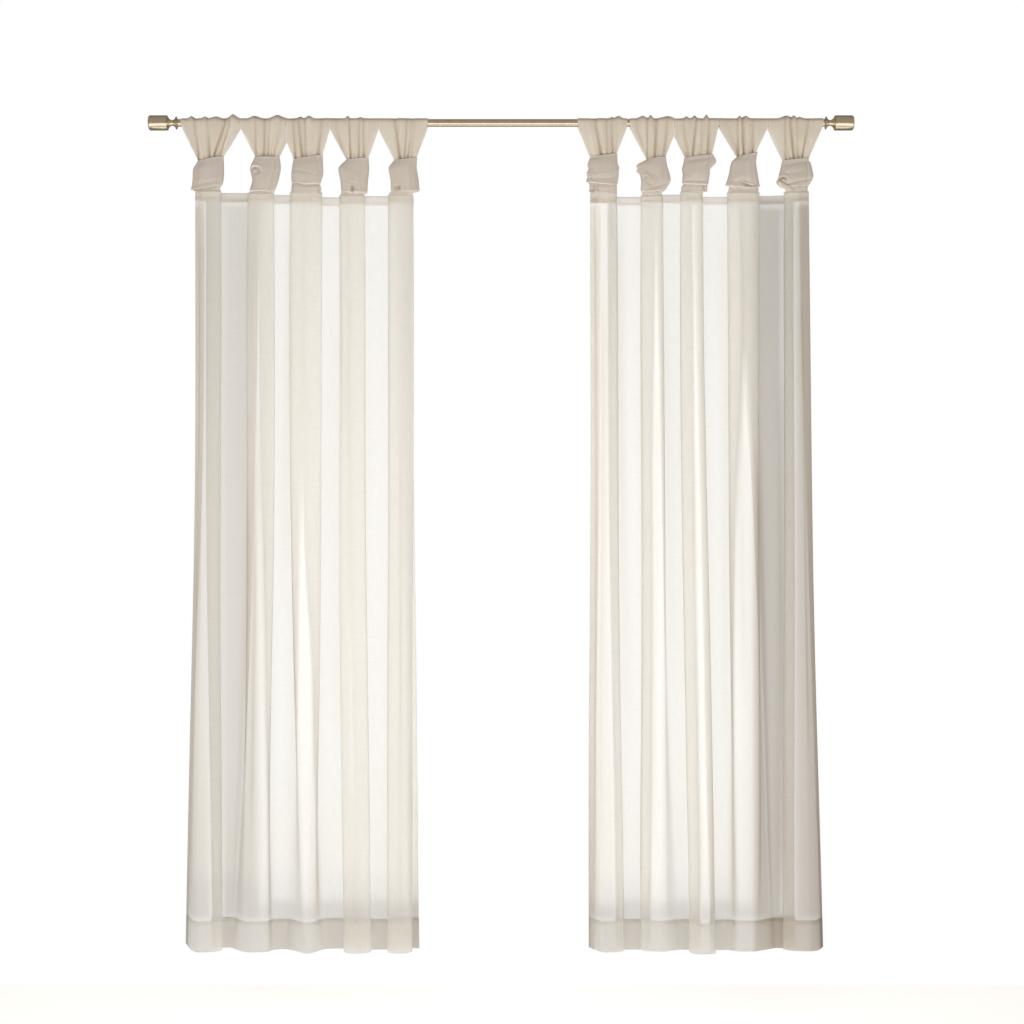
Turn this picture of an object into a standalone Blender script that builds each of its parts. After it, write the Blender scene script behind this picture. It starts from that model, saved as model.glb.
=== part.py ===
"""A pair of sheer voile curtain panels with twisted tabs, hanging on one metal rod.

Metres, +Z up. The origin is on the rod's axis at the middle of its length. X runs along the rod,
and the side that faces the room is -Y. The tables hold millimetres, as their headings say.
"""

import math
from collections import namedtuple

import bmesh
import bpy
import numpy as np

MM = 0.001

# Rod and finials, millimetres
ROD_RADIUS = 9.5
ROD_HALF_LENGTH = 824.0
ROD_SIDES = 32
FINIAL_GAP = 0.3
FINIAL_STEPS = 20

# Cloth thicknesses, millimetres. The heading and the hems are folded cloth, so they are thicker
VOILE_THICKNESS = 1.5
HEM_THICKNESS = 2.4
TAB_THICKNESS = 1.4
WRAP_THICKNESS = 2.0
REST_GAP = 0.6

# Panel folds, millimetres
FRONT_Y_TOP, BACK_Y_TOP = -20.0, 38.0
FRONT_Y_HEM, BACK_Y_HEM = -18.0, 33.0
HEM_DEPTH = 78.0
HEM_LINE = 2.0
SIDE_HEM_COLUMNS = 4
FOLD_STEPS = 8
BODY_ROWS = (0.25, 0.5, 0.75)
SWAY = 2.5
SWAY_PER_FOLD, SWAY_PER_DROP = 2.3, 5.0

# Tabs and wraps, millimetres
LOOP_RADIUS = 11.2
PLEAT_RISE = 3.6
PLEATS_PER_TAB = 2.0
PLEAT_SHIFT_PER_TAB = 0.37
WAIST_PLEAT_SHARE = 0.4
LOOP_STEPS = 6
TAB_COLUMNS = 6
FAN_WAIST_Z = -48.0
FAN_WAIST_Y = 9.0
NECK_EDGE_Y, NECK_BULGE_Y = 1.4, 3.3
RIM_CLEARANCE = 1.5
WRAP_INSET = 6.0
STUB_SPAN = (0.32, 0.68)
STUB_FOOT_RISE, STUB_HEAD_RISE = 1.0, 1.5
LAYER_STEP = TAB_THICKNESS + 0.6
WRAP_COLUMNS = 14
WRAP_HALF_DEPTHS = (8.1, 12.5, 14.5, 13.0)
WRAP_SQUARENESS = 2.4
WRAP_LEAN = 9.0
LEAN_START_Z, LEAN_END_Z = -80.0, -180.0
WRAP_FRONT_DROP, WRAP_BACK_RISE = 3.0, 6.0

# The two sides of every fold, from the left: where the front lobe and the back trough turn round,
# at the heading and at the hem. A side overhangs where the front edge lies past the back edge.
FoldSide = namedtuple("FoldSide", "top_front top_back hem_front hem_back")
# Each front lobe and back trough in turn: height of the cloth's top edge, of the heading's lower
# edge and of the bottom edge.
Fold = namedtuple("Fold", "top_z band_z hem_z")
# A panel's own side edge at the heading and at the hem.
SideEdge = namedtuple("SideEdge", "top_x top_y hem_x hem_y hem_z")
Panel = namedtuple("Panel", "start end sides folds spread")

LEFT_PANEL = Panel(
    start=SideEdge(-776, -20, -814, 45, -2104),
    end=SideEdge(-226, 34, -211, 30, -2113),
    sides=(
        FoldSide(-712, -755, -713, -738),
        FoldSide(-644, -629, -655, -689),
        FoldSide(-577, -612, -601, -579),
        FoldSide(-537, -511, -505, -540),
        FoldSide(-455, -500, -480, -453),
        FoldSide(-411, -396, -400, -384),
        FoldSide(-346, -382, -331, -356),
        FoldSide(-287, -263, -289, -271),
        FoldSide(-223, -251, -227, -249),
    ),
    folds=(
        Fold(-176, -203, -2110),
        Fold(-171, -196, -2112),
        Fold(-183, -202, -2110),
        Fold(-176, -201, -2116),
        Fold(-179, -207, -2113),
        Fold(-182, -206, -2114),
        Fold(-188, -211, -2113),
        Fold(-179, -204, -2117),
        Fold(-187, -206, -2113),
        Fold(-185, -206, -2113),
    ),
    spread=2.0,
)

RIGHT_PANEL = Panel(
    start=SideEdge(226, -20, 225, 24, -2108),
    end=SideEdge(781, -20, 831, 50, -2114),
    sides=(
        FoldSide(293, 275, 311, 297),
        FoldSide(355, 388, 357, 380),
        FoldSide(411, 401, 421, 452),
        FoldSide(455, 481, 481, 505),
        FoldSide(513, 502, 545, 541),
        FoldSide(575, 600, 606, 585),
        FoldSide(657, 632, 652, 696),
        FoldSide(720, 748, 720, 750),
    ),
    folds=(
        Fold(-177, -210, -2110),
        Fold(-181, -205, -2117),
        Fold(-189, -208, -2108),
        Fold(-175, -198, -2117),
        Fold(-178, -204, -2115),
        Fold(-181, -202, -2118),
        Fold(-179, -208, -2108),
        Fold(-178, -201, -2113),
        Fold(-179, -204, -2107),
    ),
    spread=1.4,
)

# Each tab: its edges on the rod, and how far down it still touches its neighbour on each side.
Tab = namedtuple("Tab", "rod_left rod_right part_left_z part_right_z")
# The outline of each wrap from top to bottom: where its left and right sides lie.
WrapRow = namedtuple("WrapRow", "left left_z right right_z")

LEFT_TABS = (
    Tab(-815, -665, -8, -13),
    Tab(-664, -548, -13, -48),
    Tab(-547, -438.5, -48, -15),
    Tab(-437.5, -314, -15, -15),
    Tab(-313, -187, -15, -8),
)
LEFT_WRAPS = (
    (WrapRow(-773, -97, -707, -84), WrapRow(-785, -119, -705, -112),
     WrapRow(-786, -150, -705, -142), WrapRow(-790, -172, -708, -166)),
    (WrapRow(-628, -86, -564, -86), WrapRow(-640, -116, -560, -116),
     WrapRow(-634, -148, -566, -148), WrapRow(-641, -175, -575, -176)),
    (WrapRow(-530, -93, -454, -81), WrapRow(-533, -112, -453, -104),
     WrapRow(-535, -132, -452, -130), WrapRow(-534, -154, -459, -157)),
    (WrapRow(-395, -94, -337, -88), WrapRow(-415, -116, -335, -122),
     WrapRow(-410, -148, -338, -150), WrapRow(-407, -178, -339, -180)),
    (WrapRow(-274, -96, -213, -88), WrapRow(-287, -116, -214, -114),
     WrapRow(-282, -148, -209, -146), WrapRow(-281, -176, -206, -176)),
)
RIGHT_TABS = (
    Tab(195, 321, -8, -10),
    Tab(328, 440.5, -10, -33),
    Tab(442, 554, -33, -8),
    Tab(555, 679, -8, -13),
    Tab(680, 820, -13, -8),
)
RIGHT_WRAPS = (
    (WrapRow(226, -88, 297, -77), WrapRow(220, -106, 298, -100),
     WrapRow(219, -130, 301, -128), WrapRow(216, -153, 297, -160)),
    (WrapRow(370, -93, 421, -85), WrapRow(344, -112, 424, -108),
     WrapRow(346, -146, 433, -146), WrapRow(356, -178, 419, -173)),
    (WrapRow(467, -88, 542, -80), WrapRow(463, -108, 540, -104),
     WrapRow(462, -132, 533, -128), WrapRow(460, -157, 528, -159)),
    (WrapRow(600, -87, 655, -74), WrapRow(586, -102, 651, -101),
     WrapRow(579, -134, 655, -136), WrapRow(570, -163, 660, -166)),
    (WrapRow(716, -96, 786, -89), WrapRow(710, -122, 793, -116),
     WrapRow(704, -146, 796, -139), WrapRow(708, -164, 784, -161)),
)

# The finial's outer side, from the end of its cap to the rod: distance along the rod, radius
FINIAL_PROFILE = (
    (0.0, 16.2), (1.0, 17.6), (3.0, 19.0), (46.0, 19.0), (47.2, 18.2), (48.6, 14.6), (50.6, 11.6),
    (53.4, 9.2), (57.0, 7.6), (60.5, 7.2), (63.0, 8.0), (65.8, 10.6), (68.6, 15.6), (69.6, 16.4),
    (70.6, 15.4), (72.2, 10.6), (73.2, 9.6),
)


def clear_scene():
    for obj in list(bpy.data.objects):
        bpy.data.objects.remove(obj, do_unlink=True)


def material(name, colour, roughness, metallic=0.0):
    made = bpy.data.materials.new(name)
    made.use_nodes = True
    shader = made.node_tree.nodes["Principled BSDF"]
    shader.inputs["Base Color"].default_value = (*colour, 1.0)
    shader.inputs["Roughness"].default_value = roughness
    shader.inputs["Metallic"].default_value = metallic
    made.diffuse_color = (*colour, 1.0)
    return made


def add_object(name, mesh, finish, collection):
    mesh.materials.append(finish)
    obj = bpy.data.objects.new(name, mesh)
    collection.objects.link(obj)
    return obj


def grid_mesh(name, points, wrap=False):
    """A sheet through a table of points in millimetres; wrap joins its last column to its first."""
    rows, columns = points.shape[:2]
    mesh = bpy.data.meshes.new(name)
    built = bmesh.new()
    verts = [[built.verts.new(points[r, c] * MM) for c in range(columns)] for r in range(rows)]
    for r in range(rows - 1):
        for c in range(columns if wrap else columns - 1):
            after = (c + 1) % columns
            built.faces.new((verts[r][c], verts[r][after], verts[r + 1][after], verts[r + 1][c]))
    built.normal_update()
    built.to_mesh(mesh)
    built.free()
    mesh.shade_smooth()
    return mesh


def add_thickness(obj, thickness):
    shell = obj.modifiers.new("Thickness", "SOLIDIFY")
    shell.thickness = thickness * MM
    shell.offset = 0.0
    shell.use_even_offset = True
    shell.use_rim = True
    return shell


def mix(a, b, share):
    return a + (b - a) * share


def fold_line(panel, blend):
    """The cloth's middle line seen from above. blend is 0 at the heading and 1 at the hem."""
    start_x = mix(panel.start.top_x, panel.start.hem_x, blend)
    start_y = mix(panel.start.top_y, panel.start.hem_y, blend)
    end_x = mix(panel.end.top_x, panel.end.hem_x, blend)
    end_y = mix(panel.end.top_y, panel.end.hem_y, blend)
    front_y = mix(FRONT_Y_TOP, FRONT_Y_HEM, blend)
    back_y = mix(BACK_Y_TOP, BACK_Y_HEM, blend)
    middle_y = (front_y + back_y) / 2

    fronts = [mix(side.top_front, side.hem_front, blend) for side in panel.sides]
    backs = [mix(side.top_back, side.hem_back, blend) for side in panel.sides]
    middles = [(f + b) / 2 for f, b in zip(fronts, backs)]
    # A side at an even place is the right side of a front lobe, the others are left sides
    overhangs = [(f - b) if i % 2 == 0 else (b - f) for i, (f, b) in enumerate(zip(fronts, backs))]

    ends_x = [start_x] + middles + [end_x]
    ends_y = [start_y] + [middle_y] * len(middles) + [end_y]
    last = len(panel.folds) - 1
    xs, ys = [], []
    for i in range(last + 1):
        peak = front_y if i % 2 == 0 else back_y
        width = ends_x[i + 1] - ends_x[i]
        bulge_before = overhangs[i - 1] / 2 + width / 4 if i > 0 else 0.0
        bulge_after = overhangs[i] / 2 + width / 4 if i < last else 0.0
        for step in range(FOLD_STEPS + (i == last)):
            u = step / FOLD_STEPS
            edge_y = ends_y[i] if u <= 0.5 else ends_y[i + 1]
            bulge = bulge_before if u <= 0.5 else bulge_after
            xs.append(ends_x[i] + width * u - bulge * math.sin(2 * math.pi * u))
            ys.append(edge_y + (peak - edge_y) * math.sin(math.pi * u))
    return np.array(xs), np.array(ys)


def along_folds(panel, values, start=None, end=None):
    """One value for each column of the panel, from one value for each fold."""
    places = [0.0] + [i + 0.5 for i in range(len(values))] + [float(len(values))]
    values = [values[0] if start is None else start, *values, values[-1] if end is None else end]
    columns = np.arange(len(panel.folds) * FOLD_STEPS + 1) / FOLD_STEPS
    return np.interp(columns, places, values)


def panel_points(panel):
    top = along_folds(panel, [fold.top_z for fold in panel.folds])
    band = along_folds(panel, [fold.band_z for fold in panel.folds])
    hem = along_folds(panel, [fold.hem_z for fold in panel.folds], panel.start.hem_z, panel.end.hem_z)
    hem_top = hem + HEM_DEPTH
    heights = [top, band + HEM_LINE / 2, band - HEM_LINE / 2]
    heights += [mix(band, hem_top, share) for share in BODY_ROWS]
    heights += [hem_top + HEM_LINE / 2, hem_top - HEM_LINE / 2, hem]
    fold_number = np.arange(len(top)) / FOLD_STEPS
    rows = []
    for height in heights:
        share = float(np.mean((height - top) / (hem - top)))
        xs, ys = fold_line(panel, share ** panel.spread)
        phase = SWAY_PER_FOLD * fold_number + SWAY_PER_DROP * share
        drift = SWAY * math.sin(math.pi * share) * np.sin(phase)
        rows.append(np.stack([xs + drift, ys + 0.5 * drift, height], axis=1))
    return np.array(rows)


def thick_vertices(points):
    """The heading, the bottom hem and the two side hems, as numbers of vertices in the grid."""
    rows, columns = points.shape[:2]
    thick = np.zeros((rows, columns), bool)
    thick[:2] = True
    thick[-2:] = True
    thick[:, :SIDE_HEM_COLUMNS] = True
    thick[:, -SIDE_HEM_COLUMNS:] = True
    return np.flatnonzero(thick).tolist()


def add_panel(name, panel, finish, collection):
    points = panel_points(panel)
    obj = add_object(name, grid_mesh(name, points), finish, collection)
    group = obj.vertex_groups.new(name="folded_cloth")
    group.add(thick_vertices(points), 1.0, "REPLACE")
    shell = add_thickness(obj, HEM_THICKNESS)
    shell.vertex_group = group.name
    shell.thickness_vertex_group = VOILE_THICKNESS / HEM_THICKNESS


def stub_row(panel, number, behind, z):
    """A row of the tab's lower end, flat against the back of its front lobe in the heading."""
    lobe = 2 * (number - 1)
    xs, ys = fold_line(panel, 0.0)
    columns = lobe * FOLD_STEPS + np.linspace(*STUB_SPAN, TAB_COLUMNS + 1) * FOLD_STEPS
    places = np.arange(len(xs))
    x = np.interp(columns, places, xs)
    y = np.interp(columns, places, ys)
    slope_x, slope_y = np.gradient(x), np.gradient(y)
    length = np.hypot(slope_x, slope_y)
    x = x - behind * slope_y / length
    y = y + behind * slope_x / length
    return np.stack([x, y, np.full(len(x), z)], axis=1)


def level_row(left, right, y, left_z, right_z=None):
    across = np.linspace(left, right, TAB_COLUMNS + 1)
    height = np.linspace(left_z, left_z if right_z is None else right_z, TAB_COLUMNS + 1)
    return np.stack([across, np.broadcast_to(y, across.shape), height], axis=1)


def wrap_lean(z):
    """The wrapped neck leans towards the room on its way down, because the heading hangs there."""
    share = (np.asarray(z, float) - LEAN_START_Z) / (LEAN_END_Z - LEAN_START_Z)
    return -WRAP_LEAN * np.clip(share, 0.0, 1.0)


def tab_points(panel, number, tab, wrap):
    share = np.linspace(0.0, 1.0, TAB_COLUMNS + 1)
    lens = 1.0 - (2.0 * share - 1.0) ** 2
    neck_left = max(wrap[0].left, wrap[1].left) + WRAP_INSET
    neck_right = min(wrap[0].right, wrap[1].right) - WRAP_INSET
    foot_left = max(wrap[2].left, wrap[3].left) + WRAP_INSET
    foot_right = min(wrap[2].right, wrap[3].right) - WRAP_INSET
    # The neck and the foot lie just outside the wrap's two rims, and slope as they do
    neck_z = (wrap[0].left_z + RIM_CLEARANCE, wrap[0].right_z + RIM_CLEARANCE)
    foot_z = (wrap[3].left_z - RIM_CLEARANCE, wrap[3].right_z - RIM_CLEARANCE)

    # Between the place where it leaves its neighbour and its neck, a tab's sides are straight
    left_share = max(0.0, (tab.part_left_z - FAN_WAIST_Z) / (tab.part_left_z - neck_z[0]))
    right_share = max(0.0, (tab.part_right_z - FAN_WAIST_Z) / (tab.part_right_z - neck_z[1]))
    waist_left = mix(tab.rod_left, neck_left, left_share)
    waist_right = mix(tab.rod_right, neck_right, right_share)

    turns = PLEATS_PER_TAB * share + PLEAT_SHIFT_PER_TAB * number
    pleat = -0.5 * np.cos(2 * math.pi * turns)
    rise = PLEAT_RISE * (pleat - pleat.min())
    radius = LOOP_RADIUS + rise
    waist_y = FAN_WAIST_Y + WAIST_PLEAT_SHARE * rise
    neck_y = NECK_EDGE_Y + NECK_BULGE_Y * lens
    neck_lean = wrap_lean(np.linspace(*neck_z, TAB_COLUMNS + 1))
    foot_lean = wrap_lean(np.linspace(*foot_z, TAB_COLUMNS + 1))
    near_stub = HEM_THICKNESS / 2 + REST_GAP + TAB_THICKNESS / 2
    far_stub = near_stub + LAYER_STEP
    lobe = panel.folds[2 * (number - 1)]
    stub_foot_z = lobe.band_z + STUB_FOOT_RISE
    stub_head_z = lobe.top_z + STUB_HEAD_RISE

    front = [
        stub_row(panel, number, near_stub, stub_foot_z),
        stub_row(panel, number, near_stub, stub_head_z),
        level_row(foot_left, foot_right, foot_lean - neck_y, *foot_z),
        level_row(neck_left, neck_right, neck_lean - neck_y, *neck_z),
        level_row(waist_left, waist_right, -waist_y, FAN_WAIST_Z),
    ]
    back = [
        stub_row(panel, number, far_stub, stub_foot_z),
        stub_row(panel, number, far_stub, stub_head_z),
        level_row(foot_left, foot_right, foot_lean + neck_y, *foot_z),
        level_row(neck_left, neck_right, neck_lean + neck_y, *neck_z),
        level_row(waist_left, waist_right, waist_y, FAN_WAIST_Z),
    ]
    loop = []
    for step in range(LOOP_STEPS + 1):
        angle = math.pi * step / LOOP_STEPS
        row = level_row(tab.rod_left, tab.rod_right, -radius * math.cos(angle), 0.0)
        row[:, 2] = radius * math.sin(angle)
        loop.append(row)
    return np.array(front + loop + back[::-1])


def add_tab(name, panel, number, tab, wrap, finish, collection):
    points = tab_points(panel, number, tab, wrap)
    obj = add_object(name, grid_mesh(name, points), finish, collection)
    add_thickness(obj, TAB_THICKNESS)


def wrap_points(wrap):
    angles = 2 * math.pi * np.arange(WRAP_COLUMNS) / WRAP_COLUMNS
    power = 2.0 / WRAP_SQUARENESS
    across = np.sign(np.cos(angles)) * np.abs(np.cos(angles)) ** power
    depth = np.sign(np.sin(angles)) * np.abs(np.sin(angles)) ** power
    inset = WRAP_THICKNESS / 2
    rows = []
    for number, (row, half_depth) in enumerate(zip(wrap, WRAP_HALF_DEPTHS)):
        x = (row.left + row.right) / 2 + (row.right - row.left - 2 * inset) / 2 * across
        z = mix(row.left_z, row.right_z, (across + 1.0) / 2.0)
        if number == len(wrap) - 1:
            z = z - WRAP_FRONT_DROP * np.clip(-depth, 0.0, 1.0) + WRAP_BACK_RISE * np.clip(depth, 0.0, 1.0)
        y = wrap_lean(z) + (half_depth - inset) * depth
        rows.append(np.stack([x, y, z], axis=1))
    return np.array(rows)


def add_wrap(name, wrap, finish, collection):
    obj = add_object(name, grid_mesh(name, wrap_points(wrap), wrap=True), finish, collection)
    add_thickness(obj, WRAP_THICKNESS)


def add_rod(finish, collection):
    bpy.ops.mesh.primitive_cylinder_add(
        vertices=ROD_SIDES,
        radius=ROD_RADIUS * MM,
        depth=2 * ROD_HALF_LENGTH * MM,
        rotation=(0.0, math.pi / 2, 0.0),
    )
    rod = bpy.context.object
    rod.name = "rod"
    rod.data.name = "rod"
    rod.data.materials.append(finish)
    rod.data.shade_smooth()
    rod.data.set_sharp_from_angle(angle=math.radians(40))
    for old in list(rod.users_collection):
        old.objects.unlink(rod)
    collection.objects.link(rod)


def add_finial(name, side, finish, collection):
    """A turned cap, cove and ring. side is -1 at the left end of the rod and +1 at the right."""
    length = FINIAL_PROFILE[-1][0]
    # The profile runs down its outer side, with the cap on top, and closes on the axis
    outline = [(0.0, length)] + [(r, length - along) for along, r in FINIAL_PROFILE] + [(0.0, 0.0)]
    mesh = bpy.data.meshes.new(name)
    mesh.from_pydata(
        [(r * MM, 0.0, z * MM) for r, z in outline],
        [(i, i + 1) for i in range(len(outline) - 1)],
        [],
    )
    obj = add_object(name, mesh, finish, collection)
    turn = obj.modifiers.new("Turn", "SCREW")
    turn.axis = "Z"
    turn.steps = FINIAL_STEPS
    turn.render_steps = FINIAL_STEPS
    turn.use_merge_vertices = True
    turn.merge_threshold = 0.00001
    turn.use_smooth_shade = True
    obj.rotation_euler = (0.0, side * math.pi / 2, 0.0)
    obj.location = (side * (ROD_HALF_LENGTH + FINIAL_GAP) * MM, 0.0, 0.0)


def main():
    clear_scene()
    collection = bpy.data.collections.new("sheer_voile_curtain_pair")
    bpy.context.scene.collection.children.link(collection)

    voile = material("voile", (0.84, 0.81, 0.76), 0.85)
    tab_voile = material("tab_voile", (0.62, 0.55, 0.47), 0.85)
    wrap_voile = material("wrap_voile", (0.52, 0.46, 0.39), 0.85)
    metal = material("brushed_metal", (0.46, 0.40, 0.31), 0.35, 1.0)

    add_rod(metal, collection)
    add_finial("finial_left", -1, metal, collection)
    add_finial("finial_right", 1, metal, collection)
    for side, panel, tabs, wraps in (
        ("left", LEFT_PANEL, LEFT_TABS, LEFT_WRAPS),
        ("right", RIGHT_PANEL, RIGHT_TABS, RIGHT_WRAPS),
    ):
        add_panel(f"panel_{side}", panel, voile, collection)
        for number, (tab, wrap) in enumerate(zip(tabs, wraps), start=1):
            add_tab(f"tab_{side}_{number}", panel, number, tab, wrap, tab_voile, collection)
            add_wrap(f"wrap_{side}_{number}", wrap, wrap_voile, collection)


main()
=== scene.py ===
"""The dressed model: a pair of sheer voile curtain panels with twisted tabs on a metal rod.

The tables repeat the part's own sizes in millimetres. The finer ones, for pleats, bumps and
creases, are read off the photograph.
"""

import math
from collections import namedtuple

import bpy
import numpy as np
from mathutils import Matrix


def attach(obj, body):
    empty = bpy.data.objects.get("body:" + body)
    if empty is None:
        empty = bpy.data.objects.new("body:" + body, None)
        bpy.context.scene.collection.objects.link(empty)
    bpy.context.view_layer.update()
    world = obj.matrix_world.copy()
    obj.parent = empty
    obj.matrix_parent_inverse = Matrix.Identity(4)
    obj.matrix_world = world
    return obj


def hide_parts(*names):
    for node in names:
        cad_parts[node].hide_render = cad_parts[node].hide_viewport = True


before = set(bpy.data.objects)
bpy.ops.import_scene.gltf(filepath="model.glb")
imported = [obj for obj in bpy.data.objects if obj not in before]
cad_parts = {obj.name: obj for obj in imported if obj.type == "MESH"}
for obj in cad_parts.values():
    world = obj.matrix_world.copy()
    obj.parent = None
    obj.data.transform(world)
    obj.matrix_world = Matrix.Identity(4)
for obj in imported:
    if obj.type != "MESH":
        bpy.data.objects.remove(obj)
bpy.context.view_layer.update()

MM = 0.001

# The part's own sizes, millimetres
ROD_RADIUS = 9.5
ROD_HALF_LENGTH = 824.0
FINIAL_GAP = 0.3
FRONT_Y_TOP, BACK_Y_TOP = -20.0, 38.0
FRONT_Y_HEM, BACK_Y_HEM = -18.0, 33.0
HEM_DEPTH = 78.0
SWAY = 2.5
SWAY_PER_FOLD, SWAY_PER_DROP = 2.3, 5.0
LOOP_RADIUS = 11.2
FAN_WAIST_Z = -48.0
FAN_WAIST_Y = 9.0
WRAP_INSET = 6.0
RIM_CLEARANCE = 1.5
WRAP_HALF_DEPTHS = (8.1, 12.5, 14.5, 13.0)
WRAP_SQUARENESS = 2.4
WRAP_LEAN = 9.0
LEAN_START_Z, LEAN_END_Z = -80.0, -180.0
WRAP_HEIGHT = 80.0
WRAP_FRONT_DROP, WRAP_BACK_RISE = 3.0, 6.0
# How many times a wrap's band goes round the neck of its tab
WRAP_TURNS = 1.16
# A tab's flat width over its width on the rod, for the small folds there
TAB_EASE = 1.03
# The most that a front fold's two tucks are widened, as a factor, to meet each other
TUCK_STRETCH = 1.9
# Sewing stitches and how far they stand out of the cloth
STITCH_PITCH, STITCH_LENGTH, STITCH_HALF_WIDTH = 3.4, 2.5, 0.32
STITCH_LIFT = 0.35
# The seams: above the band's lower edge, below the hem's upper edge, within the side hem's edge
BAND_SEAM_RISE, HEM_SEAM_DROP, SIDE_SEAM_INSET = 3.0, 9.0, 2.5
# How the small folds of the cloth stand out: soft ones, gathers under the tabs, and sharp ones
SOFT_DEPTH, GATHER_DEPTH, SHARP_DEPTH = 0.9, 1.1, 2.0
GATHERS_A_FOLD = 4.0
SHARP_HALF_WIDTH = 0.045
# Painted highlight and shade on each row of the heading band, from its top edge to the row under its seam
BAND_PAINTED_LIGHT = (0.45, 0.02, -0.04, -0.22, 0.04)

FoldSide = namedtuple("FoldSide", "top_front top_back hem_front hem_back")
Fold = namedtuple("Fold", "top_z band_z hem_z")
SideEdge = namedtuple("SideEdge", "top_x top_y hem_x hem_y hem_z")
Panel = namedtuple("Panel", "start end sides folds spread")
Tab = namedtuple("Tab", "rod_left rod_right part_left_z part_right_z")
WrapRow = namedtuple("WrapRow", "left left_z right right_z")


def rows_of(kind, *rows):
    """Rows of listed numbers, each as one of its kind."""
    return tuple(kind(*row) for row in rows)


def tables_of(kind, *tables):
    """The same for each tab of a panel in turn."""
    return tuple(rows_of(kind, *rows) for rows in tables)


LEFT_PANEL = Panel(
    start=SideEdge(-776, -20, -814, 45, -2104),
    end=SideEdge(-226, 34, -211, 30, -2113),
    sides=rows_of(
        FoldSide,
        (-712, -755, -713, -738), (-644, -629, -655, -689), (-577, -612, -601, -579),
        (-537, -511, -505, -540), (-455, -500, -480, -453), (-411, -396, -400, -384),
        (-346, -382, -331, -356), (-287, -263, -289, -271), (-223, -251, -227, -249),
    ),
    folds=rows_of(
        Fold,
        (-176, -203, -2110), (-171, -196, -2112), (-183, -202, -2110), (-176, -201, -2116),
        (-179, -207, -2113), (-182, -206, -2114), (-188, -211, -2113), (-179, -204, -2117),
        (-187, -206, -2113), (-185, -206, -2113),
    ),
    spread=2.0,
)
RIGHT_PANEL = Panel(
    start=SideEdge(226, -20, 225, 24, -2108),
    end=SideEdge(781, -20, 831, 50, -2114),
    sides=rows_of(
        FoldSide,
        (293, 275, 311, 297), (355, 388, 357, 380), (411, 401, 421, 452), (455, 481, 481, 505),
        (513, 502, 545, 541), (575, 600, 606, 585), (657, 632, 652, 696), (720, 748, 720, 750),
    ),
    folds=rows_of(
        Fold,
        (-177, -210, -2110), (-181, -205, -2117), (-189, -208, -2108), (-175, -198, -2117),
        (-178, -204, -2115), (-181, -202, -2118), (-179, -208, -2108), (-178, -201, -2113),
        (-179, -204, -2107),
    ),
    spread=1.4,
)
LEFT_TABS = rows_of(
    Tab,
    (-815, -665, -8, -13), (-664, -548, -13, -48), (-547, -438.5, -48, -15), (-437.5, -314, -15, -15),
    (-313, -187, -15, -8),
)
LEFT_WRAPS = tables_of(
    WrapRow,
    ((-773, -97, -707, -84), (-785, -119, -705, -112), (-786, -150, -705, -140), (-790, -173, -708, -159)),
    ((-628, -86, -564, -86), (-640, -116, -560, -116), (-634, -148, -566, -148), (-641, -175, -575, -176)),
    ((-530, -93, -454, -81), (-533, -112, -453, -104), (-535, -132, -452, -130), (-534, -154, -459, -157)),
    ((-395, -94, -337, -88), (-415, -116, -335, -122), (-410, -148, -338, -150), (-407, -178, -339, -180)),
    ((-274, -96, -213, -88), (-287, -116, -214, -114), (-282, -148, -209, -146), (-281, -176, -206, -176)),
)
RIGHT_TABS = rows_of(
    Tab,
    (195, 321, -8, -10), (328, 440.5, -10, -33), (442, 554, -33, -8), (555, 679, -8, -13),
    (680, 820, -13, -8),
)
RIGHT_WRAPS = tables_of(
    WrapRow,
    ((226, -88, 297, -77), (220, -106, 298, -100), (219, -130, 301, -128), (216, -153, 297, -160)),
    ((370, -93, 421, -85), (344, -112, 424, -108), (346, -146, 433, -146), (356, -178, 419, -173)),
    ((467, -88, 542, -80), (463, -108, 540, -104), (462, -132, 533, -128), (460, -157, 528, -159)),
    ((600, -87, 655, -74), (586, -102, 651, -101), (579, -134, 655, -136), (570, -163, 660, -166)),
    ((716, -96, 786, -89), (710, -122, 793, -116), (704, -146, 796, -139), (708, -164, 784, -161)),
)
FINIAL_PROFILE = (
    (0.0, 16.2), (1.0, 17.6), (3.0, 19.0), (46.0, 19.0), (47.2, 18.2), (48.6, 14.6), (50.6, 11.6),
    (53.4, 9.2), (57.0, 7.6), (60.5, 7.2), (63.0, 8.0), (65.8, 10.6), (68.6, 15.6), (69.6, 16.4),
    (70.6, 15.4), (72.2, 10.6), (73.2, 9.6),
)

# Fineness of the dressed pieces
FOLD_STEPS = 26
BODY_ROWS = 110
HEM_ROWS = 12
BAND_ROWS = 5
TAB_COLUMNS = 72
WRAP_COLUMNS = 104
WRAP_ROWS = 34
TURNED_SIDES = 96

# Layers of the sewn edges, millimetres
SIDE_HEM_DEPTH = 25.0
SIDE_HEM_COLUMNS = 5
TURN_IN_DEPTH = 11.0
LAYER_GAP = 0.8
HEM_LAYER_GAP = 1.8
# The share of a front fold that a tab's sewn end takes up, and at a panel's own edge
STUB_SPAN, EDGE_STUB_SPAN = (0.24, 0.76), (0.04, 0.96)
# Painted light on the tab's sewn end, drawn lighter
STUB_PAINTED_LIGHT = 0.45
# The folds are rounder at the hem, which rises a little between them
FOLD_ROUNDING = 0.6
HEM_LIFT = 9.0
# The share of a front fold's width that its two tucks cover together
TUCK_SHARE = 0.97
# Painted shade: how much darker the cloth is drawn where it runs from front to back
EDGE_PAINTED_SHADE = -0.46

# A small sharp fold of the thin cloth: the fold of the panel it runs on, its depth, and the shares of
# the drop between which it is seen
FineFold = namedtuple("FineFold", "at depth start stop", defaults=(0.0, 1.0))
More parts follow.
